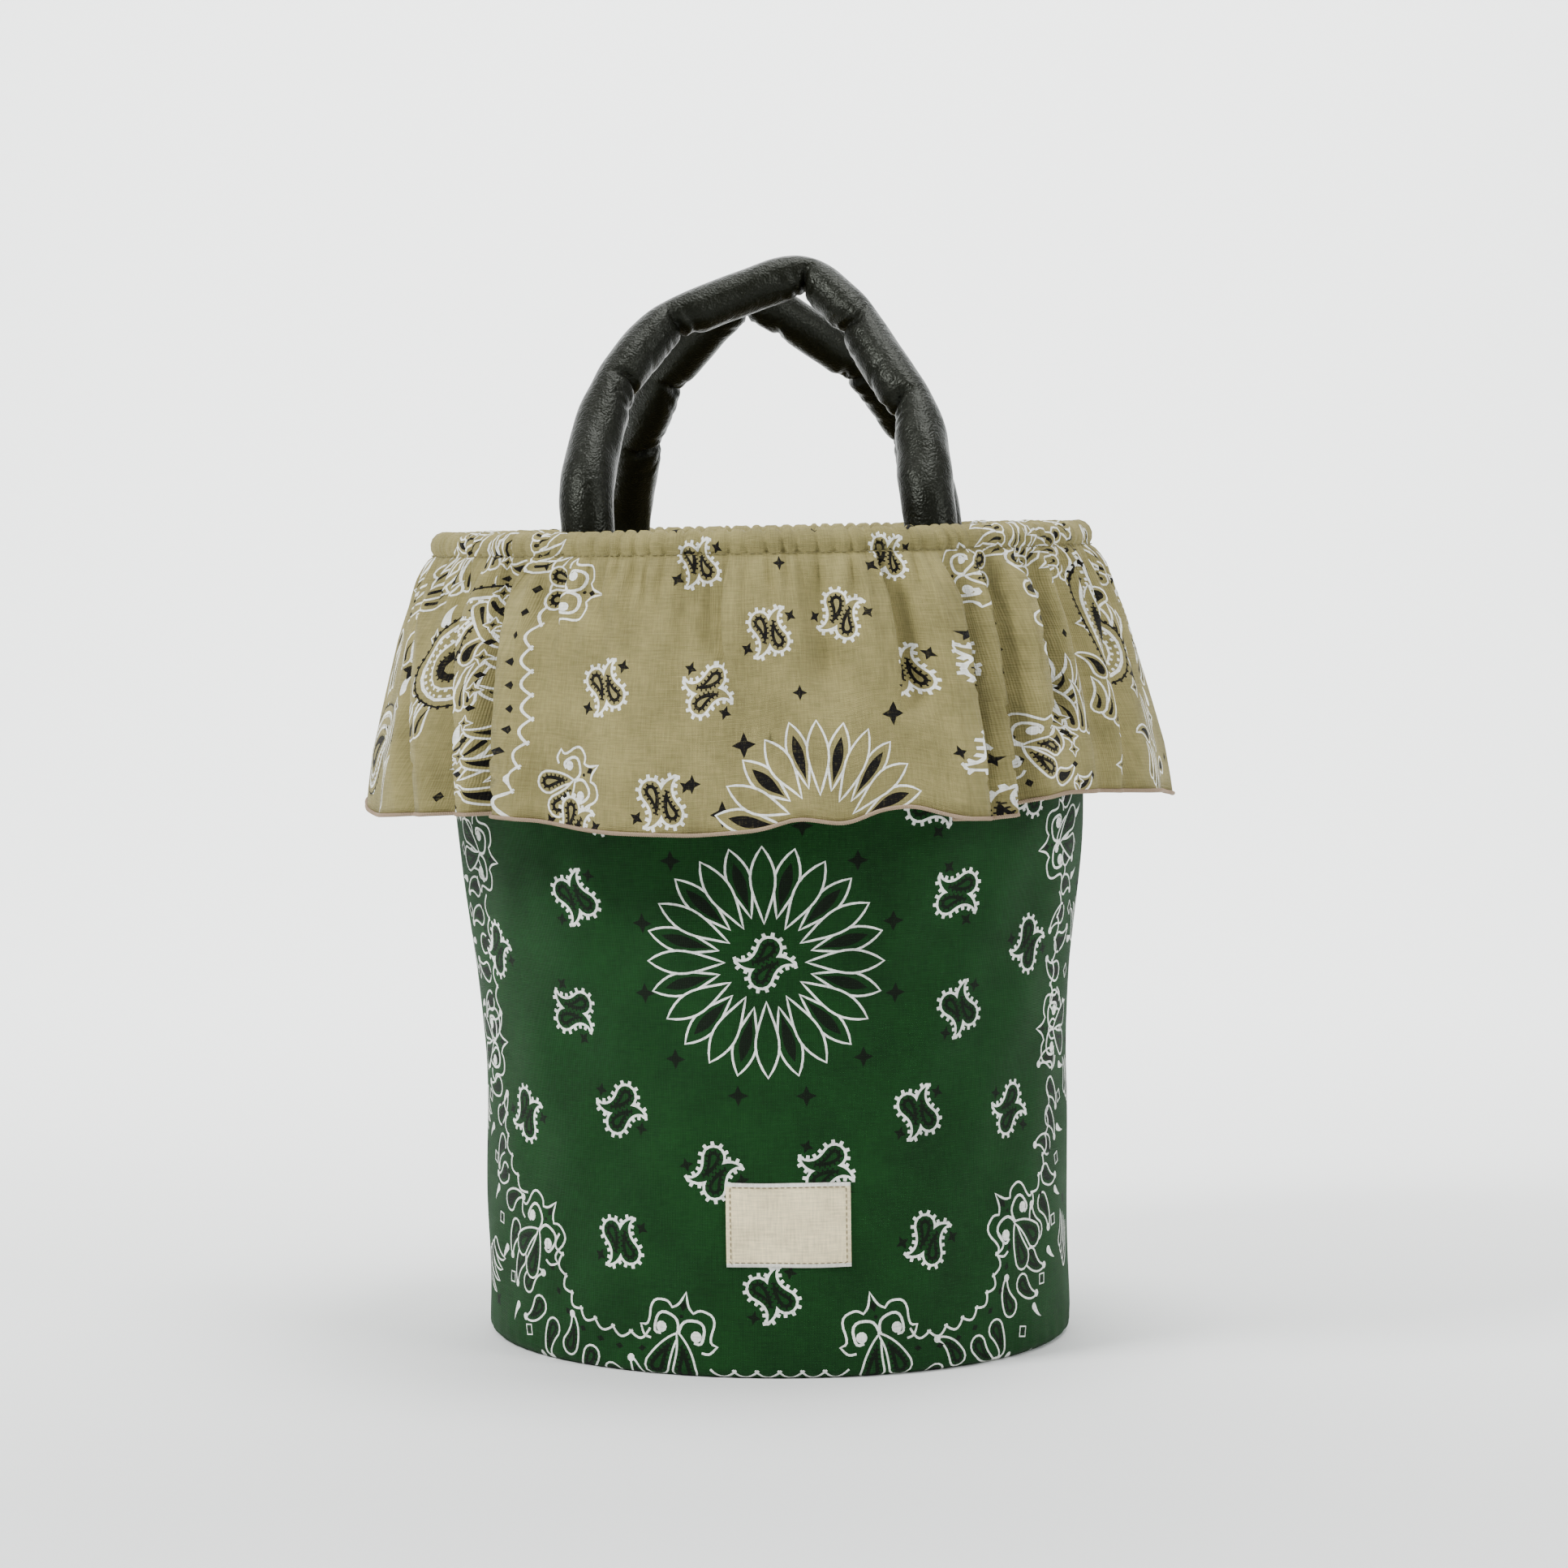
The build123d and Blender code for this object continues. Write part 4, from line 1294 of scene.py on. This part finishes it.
class BAG_OT_lining(bpy.types.Operator):
    """Lines the wall and the base"""

    bl_idname = "bag.lining"
    bl_label = "Lining"

    def execute(self, context):
        plain = cotton("undyed cotton lining", linear("#a79d72"), pitch=0.9)
        half = BASE_RADIUS * math.pi / 2 - 0.5
        low, high = 7.2, WALL_TOP - 0.8
        across, along = ticks((-half, half, 5.0)), ticks((low, high, 6))
        for side, place in PLACES.items():
            lay = cover_place(side, inset=4.85)
            lining = cut_rectangle(f"lining_{place}_cloth", across, along, [], lay, [plain])
            thicken(lining, 0.55, 0)
            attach(lining, "bag")
            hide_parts(f"lining_{place}")
        radius = FLOOR_RADIUS - 0.3
        base = round_cloth("lining_base_cloth", radius, 1, reach("lining_base", 1, 2), [plain])
        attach(base, "bag")
        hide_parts("lining_base")
        return {"FINISHED"}


class BAG_OT_rim(bpy.types.Operator):
    """Wraps the rim cord and hangs the gathered skirt from it, with its seam"""

    bl_idname = "bag.rim"
    bl_label = "Rim and Skirt"

    def execute(self, context):
        khaki, white, dark = colours().khaki, colours().white_ink, colours().dark_ink
        materials = [
            cotton("khaki printed cotton, ground", khaki),
            cotton("khaki printed cotton, white ink", white, khaki),
            cotton("khaki printed cotton, dark ink", dark, khaki),
            cotton("khaki printed cotton, reverse", [0.9 * k for k in khaki]),
        ]
        half = SKIRT_WIDTH / 2
        across = ticks((-half, -180, 2.6), (-180, 180, 1.6), (180, half, 2.6))
        along = ticks((-SKIRT_DEPTH, -30, 5.8), (-30, 0, 3.0), (0, CASING_DEPTH, 2.4),
                      (CASING_DEPTH, CASING_DEPTH + FACING_DEPTH, 10.0))
        shapes = khaki_print()
        thread = fibre("wrapped polyester edging thread", colours().edging, 0.5, 0.7, 0.15)
        seam_thread = fibre("khaki sewing thread", [0.8 * k for k in khaki], 0.4, 0.75, 0.1)
        seam = []
        for side, place in PLACES.items():
            lay = rim_place(side)
            skirt = cut_rectangle(f"skirt_{place}_cloth", across, along, shapes, lay, materials)
            thicken(skirt, 0.5, REVERSE)
            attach(skirt, "bag")
            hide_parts(f"skirt_{place}")
            steps = np.linspace(0.5 - half, half - 0.5, 620)
            hem = lay(np.column_stack([steps, np.full_like(steps, -SKIRT_DEPTH)]))
            edging = thread_row(f"hem_edging_{place}_thread", [(hem, False)], 0.95, thread,
                                wrap(0.78, 0.24, 24.0), core=0.75)
            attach(edging, "bag")
            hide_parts(f"hem_edging_{place}")
            for up, out in ((-0.5, 0.25), (CASING_DEPTH + 1.0, -0.3)):
                line = lay(np.column_stack([steps, np.full_like(steps, up)]))
                line[:, :2] *= 1 + out / RIM_RADIUS
                seam.append((line, False))
        stitches = thread_row("rim_stitching_thread", seam, 3.3, seam_thread, bead(2.5, 0.6))
        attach(stitches, "bag")
        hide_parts("rim_stitching")

        turn = np.linspace(0, 2 * math.pi, 180, endpoint=False)
        rope = fibre("twisted cotton piping cord", linear("#d9d2c0"), 1.4, 0.9, 0.5)
        circle = settle(np.column_stack([RIM_RADIUS * np.cos(turn), RIM_RADIUS * np.sin(turn),
                                         np.full_like(turn, CORD_HEIGHT)]))
        cord = thread_row("rim_cord_rope", [(circle, True)], 4.2, rope, wrap(3.3, 1.0, 38.0), core=3.4)
        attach(cord, "bag")
        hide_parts("rim_cord")
        return {"FINISHED"}


class BAG_OT_label(bpy.types.Operator):
    """Sews the blank woven label on the front"""

    bl_idname = "bag.label"
    bl_label = "Label"

    def execute(self, context):
        yarn = colours().label
        woven = cotton("woven label, face", yarn, pitch=0.6, relief=0.1)
        fold = cotton("woven label, folded edge", linear("#e8e6dc"), pitch=0.6)
        low, high = reach("label", 0, 2), reach("label", 1, 2)
        left, right = -22.0, 31.0
        across, along = ticks((left, right, 1.5)), ticks((low, high, 1.5))
        lay = cover_place(FRONT, inset=-0.75)
        edge = 1.6
        strips = [(WHITE, rectangle(across, np.array([y, y + edge]))) for y in (low, high - edge)]
        label = cut_rectangle("label_cloth", across, along, strips, lay, [woven, fold, woven, woven])
        thicken(label, 0.6, REVERSE)
        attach(label, "bag")
        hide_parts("label")
        inset = 1.9
        path = spaced(rectangle(np.array([left + inset, right - inset]),
                                np.array([low + inset, high - inset])), 160)
        line = cover_place(FRONT, inset=-0.95)(np.column_stack([path.real, path.imag]))
        thread = fibre("tan sewing thread", linear("#7d7257"), 0.4, 0.7, 0.1)
        stitches = thread_row("label_stitching_thread", [(line, True)], 2.6, thread, bead(2.0, 0.5))
        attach(stitches, "bag")
        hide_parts("label_stitching")
        return {"FINISHED"}


class BAG_OT_handles(bpy.types.Operator):
    """Makes the two stuffed leather handles with their filling and tack stitches"""

    bl_idname = "bag.handles"
    bl_label = "Handles"

    def execute(self, context):
        hide = leather()
        fill = fibre("recycled felt filling", linear("#cfccc4"), 1.6, 0.95, 0.7)
        dark = fibre("dark waxed sewing thread", linear("#1d201d"), 0.4, 0.6, 0.1)
        for side, place in PLACES.items():
            sleeve = handle_tube(f"handle_{place}_leather", side, 0.0, TAB_LOW, hide)
            thicken(sleeve, 0.9, 0)
            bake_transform(sleeve)
            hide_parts(f"handle_sleeve_{place}", f"handle_root_{place}_left",
                        f"handle_root_{place}_right")
            stuffing = handle_tube(f"handle_{place}_filling", side, 1.6, FILLING_LOW, fill, 24)
            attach(stuffing, f"{place}_handle")
            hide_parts(f"handle_stuffing_{place}")
            rows = []
            for x, y in foot_directions(side):
                for height in TACK_HEIGHTS:
                    share = np.linspace(-13, 13, 20)
                    flat = np.array([x, y]) * TACK_RADIUS + share[:, None] * np.array([-y, x])
                    rows.append((settle(np.column_stack([flat, np.full_like(share, height)])), False))
            tacks = thread_row(f"handle_tacks_{place}_thread", rows, 4.0, dark, bead(2.9, 0.8))
            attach(tacks, "bag")
            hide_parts(f"handle_tacks_{place}")
        return {"FINISHED"}


OPERATORS = (
    BAG_OT_stage, BAG_OT_padding, BAG_OT_covers, BAG_OT_lining, BAG_OT_rim, BAG_OT_label, BAG_OT_handles,
)


class BAG_PT_panel(bpy.types.Panel):
    """The bag's settings and its pieces"""

    bl_idname = "BAG_PT_panel"
    bl_label = "Padded Bucket Bag"
    bl_space_type = "VIEW_3D"
    bl_region_type = "UI"
    bl_category = "Bag"

    def draw(self, context):
        for group in (context.scene.bag_sizes, context.scene.bag_colours):
            for name in group.__annotations__:
                self.layout.prop(group, name)
        for operator in OPERATORS:
            self.layout.operator(operator.bl_idname)


CLASSES = (BagSizes, BagColours, *OPERATORS, BAG_PT_panel)


def register():
    for item in CLASSES:
        bpy.utils.register_class(item)
    bpy.types.Scene.bag_sizes = PointerProperty(type=BagSizes)
    bpy.types.Scene.bag_colours = PointerProperty(type=BagColours)


def unregister():
    del bpy.types.Scene.bag_colours
    del bpy.types.Scene.bag_sizes
    for item in reversed(CLASSES):
        bpy.utils.unregister_class(item)


def main():
    register()
    bpy.ops.bag.stage()
    bpy.ops.bag.padding()
    bpy.ops.bag.covers()
    bpy.ops.bag.lining()
    bpy.ops.bag.rim()
    bpy.ops.bag.label()
    bpy.ops.bag.handles()


if __name__ == "__main__":
    main()
